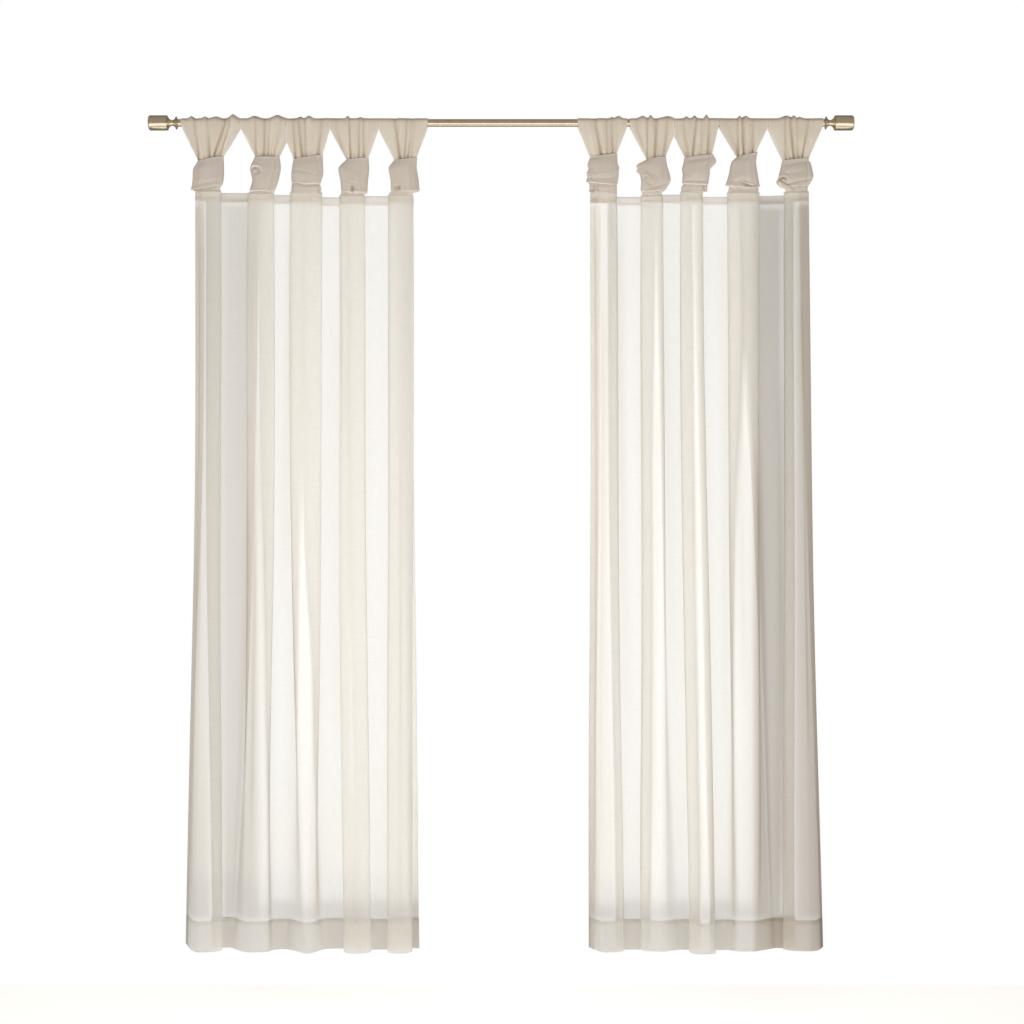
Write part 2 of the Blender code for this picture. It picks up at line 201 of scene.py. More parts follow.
# What makes each panel's small folds its own, the tone of its first fold, and its sharp small folds
PANEL_SEEDS = {
    "left": (1.0, 0.0, rows_of(
        FineFold,
        (0.22, 0.8), (0.42, 0.6, 0.0, 0.7), (0.74, 0.7), (1.30, 0.5, 0.0, 0.9), (1.62, 0.5, 0.2, 1.0),
        (1.84, 0.7, 0.0, 0.8), (2.26, 1.1, 0.0, 0.8), (2.40, 0.8, 0.0, 0.9), (2.58, 0.6, 0.0, 0.6),
        (3.55, 0.5, 0.0, 0.6), (4.20, 0.9), (4.34, 0.5, 0.1, 0.7), (4.66, 0.6, 0.3, 1.0),
        (5.60, 0.4, 0.1, 0.8), (6.38, 0.9, 0.0, 0.4), (6.70, 0.7), (7.40, 0.4, 0.2, 0.9),
        (8.30, 0.6, 0.0, 0.9), (8.60, 0.5, 0.3, 1.0), (9.50, 0.8),
    )),
    "right": (2.0, -0.13, rows_of(
        FineFold,
        (0.20, 0.8), (0.46, 0.6, 0.1, 0.9), (0.78, 0.7, 0.0, 0.7), (1.45, 0.5, 0.0, 0.8), (2.24, 0.9),
        (2.52, 0.6, 0.2, 0.9), (2.76, 0.8, 0.0, 0.6), (3.40, 0.4, 0.1, 0.7), (4.22, 0.8, 0.0, 0.9),
        (4.50, 0.6, 0.3, 1.0), (4.74, 0.9), (5.55, 0.5, 0.0, 0.8), (6.25, 0.8), (6.50, 0.7, 0.0, 0.7),
        (6.76, 1.1), (7.30, 0.7), (7.62, 0.6, 0.2, 1.0), (8.28, 0.9), (8.55, 0.7, 0.1, 0.8),
    )),
}

# Where the tab's top edge stands up in a fold as it goes over the rod: x, height, half width
Bump = namedtuple("Bump", "x height half_width")
# A pleat's valley, with painted shade in it: where it starts on the rod, where it ends at the neck, depth,
# half width
Valley = namedtuple("Valley", "rod_x neck_x depth half_width")

LEFT_BUMPS = tables_of(
    Bump,
    ((-789, 5.6, 9), (-755, 4.6, 8), (-727, 4.8, 16), (-683, 9.4, 15)),
    ((-629, 6.4, 17), (-570, 8.8, 20)),
    ((-512, 4.8, 8), (-490, 6.6, 12)),
    ((-391, 6.6, 6), (-359, 2.8, 9)),
    (),
)
RIGHT_BUMPS = tables_of(
    Bump,
    ((282, 3.8, 7), (299, 6.8, 11)),
    ((360, 5.8, 16), (381, 8.0, 7), (423, 6.2, 19)),
    ((472, 4.8, 7), (493, 8.0, 8), (523, 9.8, 7)),
    ((608, 6.8, 6), (622, 5.8, 12)),
    ((727, 7.2, 19), (746, 7.0, 8), (761, 3.6, 12)),
)
LEFT_VALLEYS = tables_of(
    Valley,
    ((-780, -769, 2.6, 4), (-748, -741, 2.2, 4), (-702, -734, 3.2, 4), (-692, -716, 2.6, 3)),
    ((-626, -624, 2.6, 3), (-602, -604, 2.4, 4), (-590, -595, 1.8, 3), (-560, -583, 1.6, 5)),
    ((-530, -523, 2.2, 4), (-515, -505, 3.0, 4), (-500, -497, 2.8, 3), (-457, -466, 2.4, 4)),
    ((-387, -383, 3.4, 3), (-362, -362, 2.6, 3), (-350, -351, 2.4, 3), (-420, -398, 1.4, 6)),
    ((-270, -256, 2.8, 4), (-240, -247, 2.2, 3), (-228, -238, 1.6, 3), (-222, -229, 1.6, 3)),
)
RIGHT_VALLEYS = tables_of(
    Valley,
    ((240, 255, 2.8, 5), (268, 270, 1.8, 4), (281, 285, 2.2, 4), (297, 292, 1.8, 3)),
    ((345, 366, 1.6, 6), (372, 372, 2.6, 3), (395, 391, 3.2, 4), (423, 413, 2.4, 5)),
    ((462, 478, 1.6, 6), (497, 487, 3.4, 4), (528, 528, 2.6, 5), (512, 508, 1.6, 5)),
    ((602, 604, 2.6, 3), (614, 618, 3.4, 4), (640, 640, 1.8, 6), (575, 608, 1.2, 6)),
    ((722, 725, 2.2, 4), (736, 746, 3.2, 4), (782, 765, 2.8, 3), (752, 756, 1.6, 4)),
)

# A soft crease across a wrap's front: its ends in shares of the wrap's width and height, its depth
# and its half width
Crease = namedtuple("Crease", "x0 v0 x1 v1 depth half_width")
# A small curl of the rolled edge: its place, radius, the height of its rim, the depth of its
# hollow, and the direction, in degrees, in which its ring is open
Curl = namedtuple("Curl", "x z radius rim hollow open_at")
# Where an edge of the band sticks out of the wrap's side, or the side is drawn in: side -1 for
# left and 1 for right, height on the wrap, how far out, half height
Ear = namedtuple("Ear", "side z out half_height")
# A wrap's outer end on its front, as a share of its width at the top and at the bottom, and the
# wrap's creases, curls and ears
WrapForm = namedtuple("WrapForm", "end_top end_bottom creases curls ears")


def wrap_form(end_top, end_bottom, creases, curls=(), ears=()):
    creases = rows_of(Crease, *creases)
    return WrapForm(end_top, end_bottom, creases, rows_of(Curl, *curls), rows_of(Ear, *ears))


LEFT_WRAP_FORMS = (
    wrap_form(0.78, 0.86, ((0.16, 0.10, 0.10, 0.95, 0.9, 4), (0.80, 0.05, 0.84, 0.85, 1.5, 2.4),
        (0.74, 0.05, 0.78, 0.9, -1.0, 3), (0.2, 0.82, 0.75, 0.80, 1.0, 4))),
    wrap_form(0.84, 0.74, ((0.86, 0.05, 0.74, 0.95, 1.7, 3), (0.78, 0.1, 0.66, 0.95, -0.9, 4),
        (0.10, 0.5, 0.36, 0.44, 1.8, 3)),
        ((-625, -123, 13.0, 2.4, 3.6, 262),)),
    wrap_form(0.90, 0.94, ((0.05, 0.50, 0.95, 0.74, 0.8, 4), (0.85, 0.1, 0.88, 0.7, 1.0, 4),
        (0.06, 0.80, 0.12, 1.0, 1.6, 3)),
        ((-459, -86, 5.0, 1.2, 3.0, 90),)),
    wrap_form(0.88, 0.90, ((0.10, 0.25, 0.85, 0.45, 0.6, 6), (0.44, 0.76, 0.42, 1.0, 4.4, 3.4),
        (0.50, 0.60, 0.62, 0.9, 1.0, 4), (0.70, 0.1, 0.82, 0.9, 0.8, 5)),
        ((-380, -170, 9.0, 1.4, 3.0, 200),)),
    wrap_form(0.82, 0.88, ((0.12, 0.2, 0.18, 0.95, 0.8, 4), (0.80, 0.15, 0.72, 0.9, 1.2, 4),
        (0.32, 0.80, 0.16, 1.0, 3.8, 3.6), (0.70, 0.1, 0.62, 0.9, -0.9, 4)),
        ((-264, -170, 10.0, 1.6, 3.4, 250),)),
)
RIGHT_WRAP_FORMS = (
    wrap_form(0.84, 0.84, ((0.05, 0.3, 0.15, 0.95, 0.9, 4), (0.84, 0.1, 0.82, 0.9, 1.2, 3),
        (0.02, 0.04, 0.36, 0.10, 1.6, 2.4), (0.1, 0.84, 0.9, 0.80, 0.8, 4)),
        (), ((-1, -118, -2.5, 5), (-1, -130, 2.0, 3), (-1, -141, -2.0, 3), (1, -115, 2.5, 5))),
    wrap_form(0.92, 0.86, ((0.10, 0.35, 0.55, 0.60, 0.9, 6), (0.12, 0.66, 0.40, 0.80, 1.4, 4),
        (0.88, 0.2, 0.75, 0.9, 1.0, 4), (0.2, 0.95, 0.9, 0.78, 1.4, 3)),
        ((366, -143, 7.0, 1.6, 2.2, 230),),
        ((-1, -108, 3.0, 5), (-1, -140, -10.0, 24), (-1, -125, 6.0, 5))),
    wrap_form(0.80, 0.86, ((0.08, 0.2, 0.9, 0.12, 0.7, 5), (0.84, 0.05, 0.80, 0.42, 2.2, 2.6),
        (0.62, 0.4, 0.66, 0.95, 0.7, 5), (0.1, 0.86, 0.9, 0.90, 0.9, 3)), (),
        ((1, -98, 8.0, 11), (1, -121, -2.0, 6), (-1, -120, 2.0, 9))),
    wrap_form(0.90, 0.92, ((0.50, 0.2, 0.56, 0.95, 0.9, 5), (0.52, 0.86, 0.92, 0.97, 3.0, 3.4),
        (0.12, 0.85, 0.5, 0.80, 1.0, 4), (0.84, 0.1, 0.78, 0.9, 0.8, 4))),
    wrap_form(0.80, 0.76, ((0.10, 0.18, 0.85, 0.12, 0.8, 4), (0.84, 0.15, 0.80, 0.8, 1.8, 3),
        (0.30, 0.86, 0.95, 0.74, 1.5, 3), (0.12, 0.50, 0.7, 0.46, 0.6, 6),
        (0.06, 0.68, 0.28, 0.92, 3.6, 2.4)),
        ((716, -148, 11.0, 2.6, 4.8, 285),),
        ((-1, -154, 5.0, 7), (1, -83, 5.0, 5), (1, -96, -3.0, 4))),
)
# Where the band goes round once more, lower and closer in: left, top, right, foot
Turn = namedtuple("Turn", "left top right foot form")
LEFT_TURNS = {
    3: Turn(-532, -142, -460, -178, wrap_form(0.86, 0.90, (
        (0.08, 0.30, 0.40, 0.55, 2.2, 3), (0.45, 0.62, 0.92, 0.50, 1.6, 3)))),
}
RIGHT_TURNS = {
    1: Turn(224, -142, 296, -178, wrap_form(0.90, 0.94, (
        (0.16, 0.45, 0.14, 1.0, 3.2, 3), (0.30, 0.40, 0.30, 0.85, 3.0, 3),
        (0.32, 0.40, 0.66, 0.40, 2.2, 3), (0.23, 0.40, 0.22, 0.95, -1.6, 3)))),
    3: Turn(467, -143, 526, -177, wrap_form(0.90, 0.92, (
        (0.14, 0.40, 0.18, 1.0, 1.0, 3), (0.25, 0.42, 0.75, 0.42, 1.6, 3),
        (0.80, 0.40, 0.86, 1.0, 2.4, 3)))),
    4: Turn(580, -144, 656, -176, wrap_form(0.90, 0.94, (
        (0.10, 0.45, 0.45, 0.62, 1.8, 3), (0.45, 0.40, 0.75, 0.62, 3.2, 4),
        (0.55, 0.72, 0.95, 0.62, -1.4, 3)))),
}

# The camera of the photograph
CAMERA_AT = (0.0277, -4.0, -0.992)
FIELD_WIDTH = 2.611
SENSOR_WIDTH = 36.0

# The extent of the soft light that shines through the cloth from behind, metres
GLOW_LEFT, GLOW_RIGHT = -0.615, 0.640
GLOW_TOP, GLOW_FOOT = -0.190, -1.988
GLOW_Y = 0.22


def mix(a, b, share):
    return a + (b - a) * share


def smooth(share):
    share = np.clip(share, 0.0, 1.0)
    return share * share * (3.0 - 2.0 * share)


def bell(distance, half_width):
    """1 at no distance, falling off softly on both sides."""
    return np.exp(-((distance / half_width) ** 2))


def ripple(a, b, seed):
    """A smooth uneven wave between -1 and 1, over two directions."""
    total = (
        np.sin(1.00 * a + 0.31 * b + 1.7 * seed)
        + 0.7 * np.sin(1.93 * a - 0.57 * b + 2.9 * seed + 1.1)
        + 0.5 * np.sin(3.17 * a + 1.13 * b + 4.3 * seed + 2.3)
    )
    return total / 2.2


# Mesh helpers


def mesh_object(name, verts, faces, material):
    mesh = bpy.data.meshes.new(name)
    mesh.from_pydata(verts, [], faces)
    mesh.materials.append(material)
    obj = bpy.data.objects.new(name, mesh)
    bpy.context.scene.collection.objects.link(obj)
    return obj


def sheet_object(name, points, uvs, material):
    """A sheet through a table of points in millimetres, with its cloth coordinates in metres.

    The fourth value of a point is its tone, mostly painted light: below 0 painted shade, as in a fold,
    above 0 a painted highlight, as on an edge.
    """
    tones, points = points[..., 3], points[..., :3]
    rows, columns = points.shape[:2]
    index = np.arange(rows * columns).reshape(rows, columns)
    faces = np.stack([index[:-1, :-1], index[:-1, 1:], index[1:, 1:], index[1:, :-1]], axis=-1)
    faces = faces.reshape(-1, 4)
    obj = mesh_object(name, (points.reshape(-1, 3) * MM).tolist(), faces.tolist(), material)
    mesh = obj.data
    mesh.shade_smooth()
    layer = mesh.uv_layers.new(name="cloth")
    flat = uvs.reshape(-1, 2)[faces.reshape(-1)] * MM
    layer.data.foreach_set("uv", flat.astype(np.float32).ravel())
    # The tone is stored for the material, where it paints shade and highlight into the colour
    tone = mesh.attributes.new(name="tone_with_painted_shade_and_highlight", type="FLOAT", domain="POINT")
    tone.data.foreach_set("value", tones.astype(np.float32).ravel())
    return obj


def row_arcs(points):
    """Each point's distance along its row."""
    steps = np.linalg.norm(np.diff(points[..., :3], axis=1), axis=2)
    return np.concatenate([np.zeros((len(points), 1)), np.cumsum(steps, axis=1)], axis=1)


def column_arcs(points):
    steps = np.linalg.norm(np.diff(points[..., :3], axis=0), axis=2)
    return np.concatenate([np.zeros((1, points.shape[1])), np.cumsum(steps, axis=0)], axis=0)


# Panels


def fold_line(panel, blend, steps):
    """One level line of the panel: its points, how much each is tucked in, and how much is doubled."""
    start_x = mix(panel.start.top_x, panel.start.hem_x, blend)
    start_y = mix(panel.start.top_y, panel.start.hem_y, blend)
    end_x = mix(panel.end.top_x, panel.end.hem_x, blend)
    end_y = mix(panel.end.top_y, panel.end.hem_y, blend)
    front_y = mix(FRONT_Y_TOP, FRONT_Y_HEM, blend)
    back_y = mix(BACK_Y_TOP, BACK_Y_HEM, blend)
    middle_y = (front_y + back_y) / 2
    fronts = [mix(side.top_front, side.hem_front, blend) for side in panel.sides]
    backs = [mix(side.top_back, side.hem_back, blend) for side in panel.sides]
    overhangs = [(f - b) if i % 2 == 0 else (b - f) for i, (f, b) in enumerate(zip(fronts, backs))]
    # Where a front fold tucks in on both sides, the two tucks are widened until they nearly meet
    for i in range(1, len(overhangs), 2):
        if i + 1 < len(overhangs) and overhangs[i] > 0 and overhangs[i + 1] > 0:
            widen = TUCK_SHARE * (fronts[i + 1] - fronts[i]) / (overhangs[i] + overhangs[i + 1])
            # Lower down one of them opens, and they draw apart again
            both = smooth(min(overhangs[i], overhangs[i + 1]) / 20.0)
            widen = mix(1.0, min(TUCK_STRETCH, max(1.0, widen)), both)
            overhangs[i:i + 2] = [widen * overhang for overhang in overhangs[i:i + 2]]
    tucks = [0.0] + [min(1.0, max(0.0, overhang / 18.0)) for overhang in overhangs] + [0.0]
    middles = [
        (f - overhang / 2 if i % 2 == 0 else f + overhang / 2)
        for i, (f, overhang) in enumerate(zip(fronts, overhangs))
    ]
    ends_x = [start_x] + middles + [end_x]
    ends_y = [start_y] + [middle_y] * len(middles) + [end_y]
    last = len(panel.folds) - 1
    xs, ys, sides, covers = [], [], [], []
    for i in range(last + 1):
        peak = front_y if i % 2 == 0 else back_y
        width = ends_x[i + 1] - ends_x[i]
        before = overhangs[i - 1] / 2 + width / 4 if i > 0 else 0.0
        after = overhangs[i] / 2 + width / 4 if i < last else 0.0
        for step in range(steps + (i == last)):
            u = step / steps
            edge_y = ends_y[i] if u <= 0.5 else ends_y[i + 1]
            bulge = before if u <= 0.5 else after
            xs.append(ends_x[i] + width * u - bulge * math.sin(2 * math.pi * u))
            tuck = tucks[i] if u <= 0.5 else tucks[i + 1]
            forward = abs(math.sin(math.pi * u)) ** (1.0 + FOLD_ROUNDING * blend * tuck)
            ys.append(edge_y + (peak - edge_y) * forward)
            sides.append(tuck * (1.0 - forward))
            cover = 0.0
            for edge in (i - 1, i):
                if 0 <= edge <= last - 1:
                    # How far the column lies within the overlap at this edge of its fold
                    inward = (xs[-1] - fronts[edge]) * (1.0 if edge == i - 1 else -1.0)
                    within = overhangs[edge] - inward if i % 2 == 0 else -inward
                    soft = 18.0 if i % 2 == 0 else 6.0
                    opening = smooth(overhangs[edge] / 16.0)
                    cover = max(cover, min(1.0, max(0.0, within / soft + 0.5)) * opening)
            covers.append(cover)
    return np.array(xs), np.array(ys), np.array(sides), np.array(covers)


def along_folds(panel, values, start=None, end=None):
    """One value for each column, easing from fold to fold."""
    places = np.array([0.0] + [i + 0.5 for i in range(len(values))] + [float(len(values))])
    values = np.array([values[0] if start is None else start, *values, values[-1] if end is None else end])
    columns = np.arange(len(panel.folds) * FOLD_STEPS + 1) / FOLD_STEPS
    spot = np.clip(np.searchsorted(places, columns, side="right") - 1, 0, len(places) - 2)
    share = (columns - places[spot]) / (places[spot + 1] - places[spot])
    return mix(values[spot], values[spot + 1], smooth(share))


def panel_front(panel, seed, first_tone, fine_folds):
    """The front layer of a panel: rows of points from its top edge down to its bottom edge."""
    top = along_folds(panel, [fold.top_z for fold in panel.folds])
    band = along_folds(panel, [fold.band_z for fold in panel.folds])
    hem = along_folds(panel, [fold.hem_z for fold in panel.folds], panel.start.hem_z, panel.end.hem_z)
    hem = hem + HEM_LIFT * fold_line(panel, 1.0, FOLD_STEPS)[2] ** 1.5
    hem_top = hem + HEM_DEPTH
    heights = [mix(top, band, share) for share in np.linspace(0, 1, BAND_ROWS)]
    heights += [mix(band, hem_top, share) for share in np.linspace(0, 1, BODY_ROWS)[1:]]
    heights += [mix(hem_top, hem, share) for share in np.linspace(0, 1, HEM_ROWS)[1:]]
    fold_number = np.arange(len(top)) / FOLD_STEPS
    rows = []
    for height in heights:
        share = float(np.mean((height - top) / (hem - top)))
        xs, ys, _, covers = fold_line(panel, share ** panel.spread, FOLD_STEPS)
        phase = SWAY_PER_FOLD * fold_number + SWAY_PER_DROP * share
        drift = SWAY * math.sin(math.pi * share) * np.sin(phase)
        xs, ys = xs + drift, ys + 0.5 * drift
        # Small folds of the cloth itself: soft along its length, closer under the tabs
        slope_x, slope_y = np.gradient(xs), np.gradient(ys)
        length = np.hypot(slope_x, slope_y)
        soft = SOFT_DEPTH * ripple(7.3 * fold_number, 4.0 * share, seed)
        gathers = np.sin(2 * math.pi * GATHERS_A_FOLD * fold_number + seed)
        gathered = GATHER_DEPTH * math.exp(-share / 0.10) * gathers
        in_band = 0.35 if share < 0.02 else 1.0
        away = (soft + gathered) * in_band
        lines = np.zeros_like(xs)
        for number, line in enumerate(fine_folds):
            at = line.at + 0.05 * math.sin(3.0 * share + 1.7 * number)
            fading = smooth((share - line.start) / 0.10) * smooth((line.stop - share) / 0.15)
            lines += line.depth * fading * bell(fold_number - at, SHARP_HALF_WIDTH)
        away = away - SHARP_DEPTH * lines
        # Painted shade: a fold is drawn darker where the cloth runs from front to back, less so at the
        # panel's start; the ripple is tone that differs at random
        across = 1.0 - np.abs(slope_x) / length
        from_start = 1.0 - 0.8 * bell(fold_number, 0.3)
        tone = EDGE_PAINTED_SHADE * from_start * across ** 2 + 0.05 * ripple(11.0 * fold_number, 3.0 * share, seed)
        # Painted shade: single cloth is drawn darker beside the back light and below it, more so on the
        # right and nearest the front, and cloth over other layers is drawn a little lighter with painted
        # light, but darker beside the back light on the right
        from_left, from_right = xs - GLOW_LEFT / MM, GLOW_RIGHT / MM - xs
        beside = 1.0 - smooth((from_left + 8.0) / 16.0) * smooth((from_right + 8.0) / 16.0)
        low = float(smooth((share - 0.70) / 0.22))
        nearest = np.clip((5.0 - ys) / 20.0, 0.0, 1.0)
        single_painted_shade = mix(0.01 + 0.13 * low, np.where(xs < 0.0, 0.15 + 0.10 * low, 0.34 + 0.08 * low), beside)
        single_painted_shade = single_painted_shade + 0.05 * nearest * (1.0 - low)
        doubled = mix(0.06 - 0.04 * low, np.where(xs < 0.0, 0.10, -0.06), beside)
        tone = tone - single_painted_shade * (1.0 - covers) + doubled * covers
        # The first fold gets its own tone, and the sharp small folds get painted shade
        tone = tone + first_tone * np.exp(-((fold_number / 0.62) ** 6)) - 0.30 * lines
        # The sewn edges are of more layers: the heading band's rows get their own painted highlight and
        # shade, and the hem gets painted shade, browner on the folds that lie further back and darker
        # beside the back light on the right
        backness = np.clip((ys - 5.0) / 25.0, 0.0, 1.0)
        if len(rows) < BAND_ROWS:
            tone = 0.35 * tone + BAND_PAINTED_LIGHT[len(rows)]
        elif len(rows) >= BAND_ROWS + BODY_ROWS - 2:
            tone = tone + 0.8 * single_painted_shade * (1.0 - covers) + 0.10 - 0.22 * backness
            tone = tone - 0.26 * beside * (xs > 0.0)
        xs, ys = xs - away * slope_y / length, ys + away * slope_x / length
        rows.append(np.stack([xs, ys, height, tone], axis=1))
    return np.array(rows)


def behind(points):
    """Unit vectors towards the cloth's back, in the level plane."""
    slope = np.gradient(points[..., :2], axis=1)
    length = np.linalg.norm(slope, axis=2, keepdims=True)
    slope = slope / np.maximum(length, 1e-6)
    flat = np.zeros(slope.shape[:2])
    return np.stack([-slope[..., 1], slope[..., 0], flat, flat], axis=-1)


def at_arcs(row, arcs, wanted):
    return np.stack([np.interp(wanted, arcs, row[:, axis]) for axis in range(row.shape[1])], axis=1)


def add_panel(side, panel, material, thread):
    front = panel_front(panel, *PANEL_SEEDS[side])
    back = behind(front)
    arcs = row_arcs(front)
    hem_first = BAND_ROWS + BODY_ROWS - 2

    near = np.linspace(SIDE_HEM_DEPTH, 0.0, SIDE_HEM_COLUMNS)

    def with_side_hems(row, offset, side_offset):
        """A row that goes on round both side hems, which lie behind the panel's two edges."""
        turned = front[row] + (offset + side_offset) * back[row]
        start = at_arcs(turned, arcs[row], near)
        end = at_arcs(turned, arcs[row], arcs[row][-1] - near[::-1])
        return np.concatenate([start, front[row] + offset * back[row], end])

    # Up behind the heading band, down the front, and up behind the hem
    drop = column_arcs(front).mean(axis=1)
    last = len(front) - 1
    plan = [(row, HEM_LAYER_GAP, -LAYER_GAP, -drop[row]) for row in range(BAND_ROWS - 1, -1, -1)]
    plan += [(row, 0.0, LAYER_GAP, drop[row]) for row in range(last + 1)]
    plan += [(row, HEM_LAYER_GAP, -LAYER_GAP * 0.5, 2 * drop[last] - drop[row])
             for row in range(last, hem_first - 1, -1)]
    rows = [with_side_hems(row, offset, side_offset) for row, offset, side_offset, _ in plan]
    lengths = [length for *_, length in plan]
    # The hem's raw edge is turned in
    inner = with_side_hems(hem_first, HEM_LAYER_GAP * 0.55, 0.0)
    inner_foot = inner.copy()
    inner_foot[:, 2] -= TURN_IN_DEPTH
    rows += [inner, inner_foot]
    lengths += [lengths[-1] + 0.5, lengths[-1] + TURN_IN_DEPTH]

    mean_arc = arcs.mean(axis=0)
    across = np.concatenate([-near, mean_arc, mean_arc[-1] + near[::-1]])
    uvs = np.stack(np.broadcast_arrays(across[None, :], -np.array(lengths)[:, None]), axis=-1)
    cloth = sheet_object(f"panel_{side}_voile", np.array(rows), uvs, material)

    face = front - STITCH_LIFT * back
    stitches = [face[BAND_ROWS - 1] + np.array([0.0, 0.0, BAND_SEAM_RISE, 0.0])]
    stitches.append(face[hem_first] - np.array([0.0, 0.0, HEM_SEAM_DROP, 0.0]))
    inset = SIDE_HEM_DEPTH - SIDE_SEAM_INSET
    for places in (np.full(len(face), inset), arcs[:, -1] - inset):
        stitches.append(np.array([at_arcs(*line)[0] for line in zip(face, arcs, places[:, None])]))
    seam = add_stitches(f"panel_{side}_stitches", stitches, thread)
    flat = ((mean_arc[-1] + 2 * SIDE_HEM_DEPTH) * MM, (lengths[-1] - lengths[0]) * MM)
    return cloth, seam, flat


def add_stitches(name, lines, material):
    """Rows of short thread stitches along lines of points, joined into one mesh."""
    verts, faces = [], []
    for line in lines:
        line = line[:, :3]
        steps = np.linalg.norm(np.diff(line, axis=0), axis=1)
        arc = np.concatenate([[0.0], np.cumsum(steps)])
        starts = np.arange(1.0, arc[-1] - STITCH_LENGTH, STITCH_PITCH)
        heads = at_arcs(line, arc, starts)
        tails = at_arcs(line, arc, starts + STITCH_LENGTH)
        along = tails - heads
        along /= np.maximum(np.linalg.norm(along, axis=1, keepdims=True), 1e-6)
        helper = np.where(np.abs(along[:, 2:3]) > 0.7, [[1.0, 0.0, 0.0]], [[0.0, 0.0, 1.0]])
        wide = np.cross(along, helper)
        wide /= np.linalg.norm(wide, axis=1, keepdims=True)
        high = np.cross(wide, along)
        middle = (heads + tails) / 2
        for h, m, t, w, g in zip(heads, middle, tails, wide, high):
            first = len(verts)
            w, g = w * STITCH_HALF_WIDTH, g * STITCH_HALF_WIDTH
            verts += [h, m + w, m + g, m - w, m - g, t]
            for i in range(4):
                a, b = first + 1 + i, first + 1 + (i + 1) % 4
                faces.append((first, a, b))
                faces.append((first + 5, b, a))
    obj = mesh_object(name, (np.array(verts) * MM).tolist(), faces, material)
    obj.data.shade_smooth()
    return obj


# Tabs


def stub_row(panel, number, behind_by, z, span):
    """A row of the tab's lower end, flat against the back of its front lobe in the heading."""
    lobe = 2 * (number - 1)
    xs, ys = fold_line(panel, 0.0, FOLD_STEPS)[:2]
    columns = lobe * FOLD_STEPS + np.linspace(*span, TAB_COLUMNS + 1) * FOLD_STEPS
    places = np.arange(len(xs))
    x = np.interp(columns, places, xs)
    y = np.interp(columns, places, ys)
    slope_x, slope_y = np.gradient(x), np.gradient(y)
    length = np.hypot(slope_x, slope_y)
    x, y = x - behind_by * slope_y / length, y + behind_by * slope_x / length
    return np.stack([x, y, np.full(len(x), float(z)), np.full(len(x), STUB_PAINTED_LIGHT)], axis=1)


def wrap_lean(z):
    share = (np.asarray(z, float) - LEAN_START_Z) / (LEAN_END_Z - LEAN_START_Z)
    return -WRAP_LEAN * np.clip(share, 0.0, 1.0)


